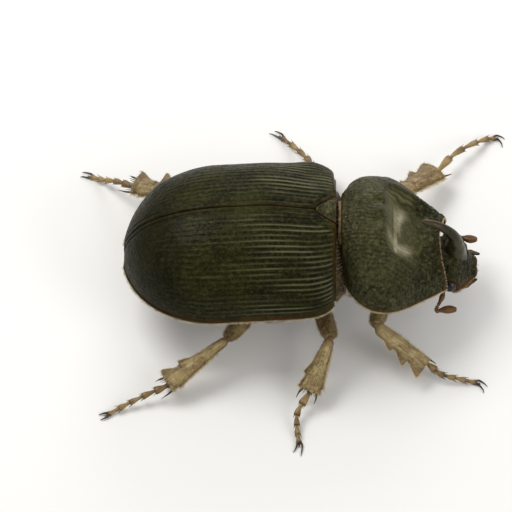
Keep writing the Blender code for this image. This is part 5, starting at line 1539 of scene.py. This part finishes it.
uv = np.stack([0.03 + 0.94 * clip((HEAD_RINGS[i, j, 0] - 15.6) / 3.2), 0.03 + 0.94 * j / HEAD_RINGS.shape[1]], -1)
coat.grow(HEAD_RINGS[i, j] - out[i, j] * 0.05, unit(out[i, j] + np.array((0.6, 0, -0.2))), np.tile((0.0, 0, 1), (len(i), 1)),
          rng.uniform(0.08, 0.16, len(i)), 0.010, uv, 3, 0.05, 0.3, 0.1)
coat.built("mouth_hairs", RUST, "shield")


# -------------------------------------------------------- floor, light, view
look = Look("pale_floor")
tone = look.mix(look.noise(9, 3.0), (0.80, 0.795, 0.78), (0.84, 0.835, 0.82))
FLOOR = look.done(tone, look.ramp(look.noise(60, 3.0), 0.3, 0.7, 0.68, 0.8), look.bump(look.noise(900, 3.0), 4e-6, 0.3), 0.0, 0.3, 0.2)
mesh = bpy.data.meshes.new("floor")
r = 1.2
mesh.from_pydata([(-r, -r, 0), (r, -r, 0), (r, r, 0), (-r, r, 0)], [], [(0, 1, 2, 3)])
mesh.materials.append(FLOOR)
floor = bpy.data.objects.new("floor", mesh)
bpy.context.scene.collection.objects.link(floor)
floor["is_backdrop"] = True

scene = bpy.context.scene
scene.view_settings.view_transform = "Standard"
world = bpy.data.worlds.new("soft_room")
world.use_nodes = True
background = world.node_tree.nodes["Background"]
background.inputs["Color"].default_value = (1.0, 0.995, 0.98, 1.0)
background.inputs["Strength"].default_value = 0.56
scene.world = world


def lamp(name, place, aim, size, power, color=(1, 1, 1)):
    data = bpy.data.lights.new(name, "AREA")
    data.shape, data.size, data.energy, data.color = "DISK", size, power, color
    obj = bpy.data.objects.new(name, data)
    obj.location = place
    obj.rotation_euler = (Vector(aim) - Vector(place)).to_track_quat("-Z", "Y").to_euler()
    obj.visible_camera = False
    scene.collection.objects.link(obj)


lamp("key", (-0.10, 0.06, 0.19), (0, 0, 0.006), 0.13, 0.29, (1.0, 0.985, 0.96))
lamp("fill", (0.16, -0.12, 0.13), (0.002, 0, 0.006), 0.14, 0.16)
lamp("back", (0.04, 0.20, 0.10), (0, 0, 0.008), 0.12, 0.14, (0.97, 0.985, 1.0))

camera = bpy.data.cameras.new("camera")
camera.lens, camera.sensor_width, camera.clip_start, camera.clip_end = 1000.0, 36.0, 0.05, 20.0
view = bpy.data.objects.new("camera", camera)
target = Vector((-4.9 + OFFSET[0], OFFSET[1], 6.94)) * MM
far = 0.0551 * camera.lens / 36
rise = math.radians(55)
view.location = target + Vector((0, -math.cos(rise), math.sin(rise))) * far
view.rotation_euler = (target - view.location).to_track_quat("-Z", "Y").to_euler()
scene.collection.objects.link(view)
scene.camera = view

low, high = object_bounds()
{"cad": [list(cad_low), list(cad_high)], "looks": [list(low), list(high)]}
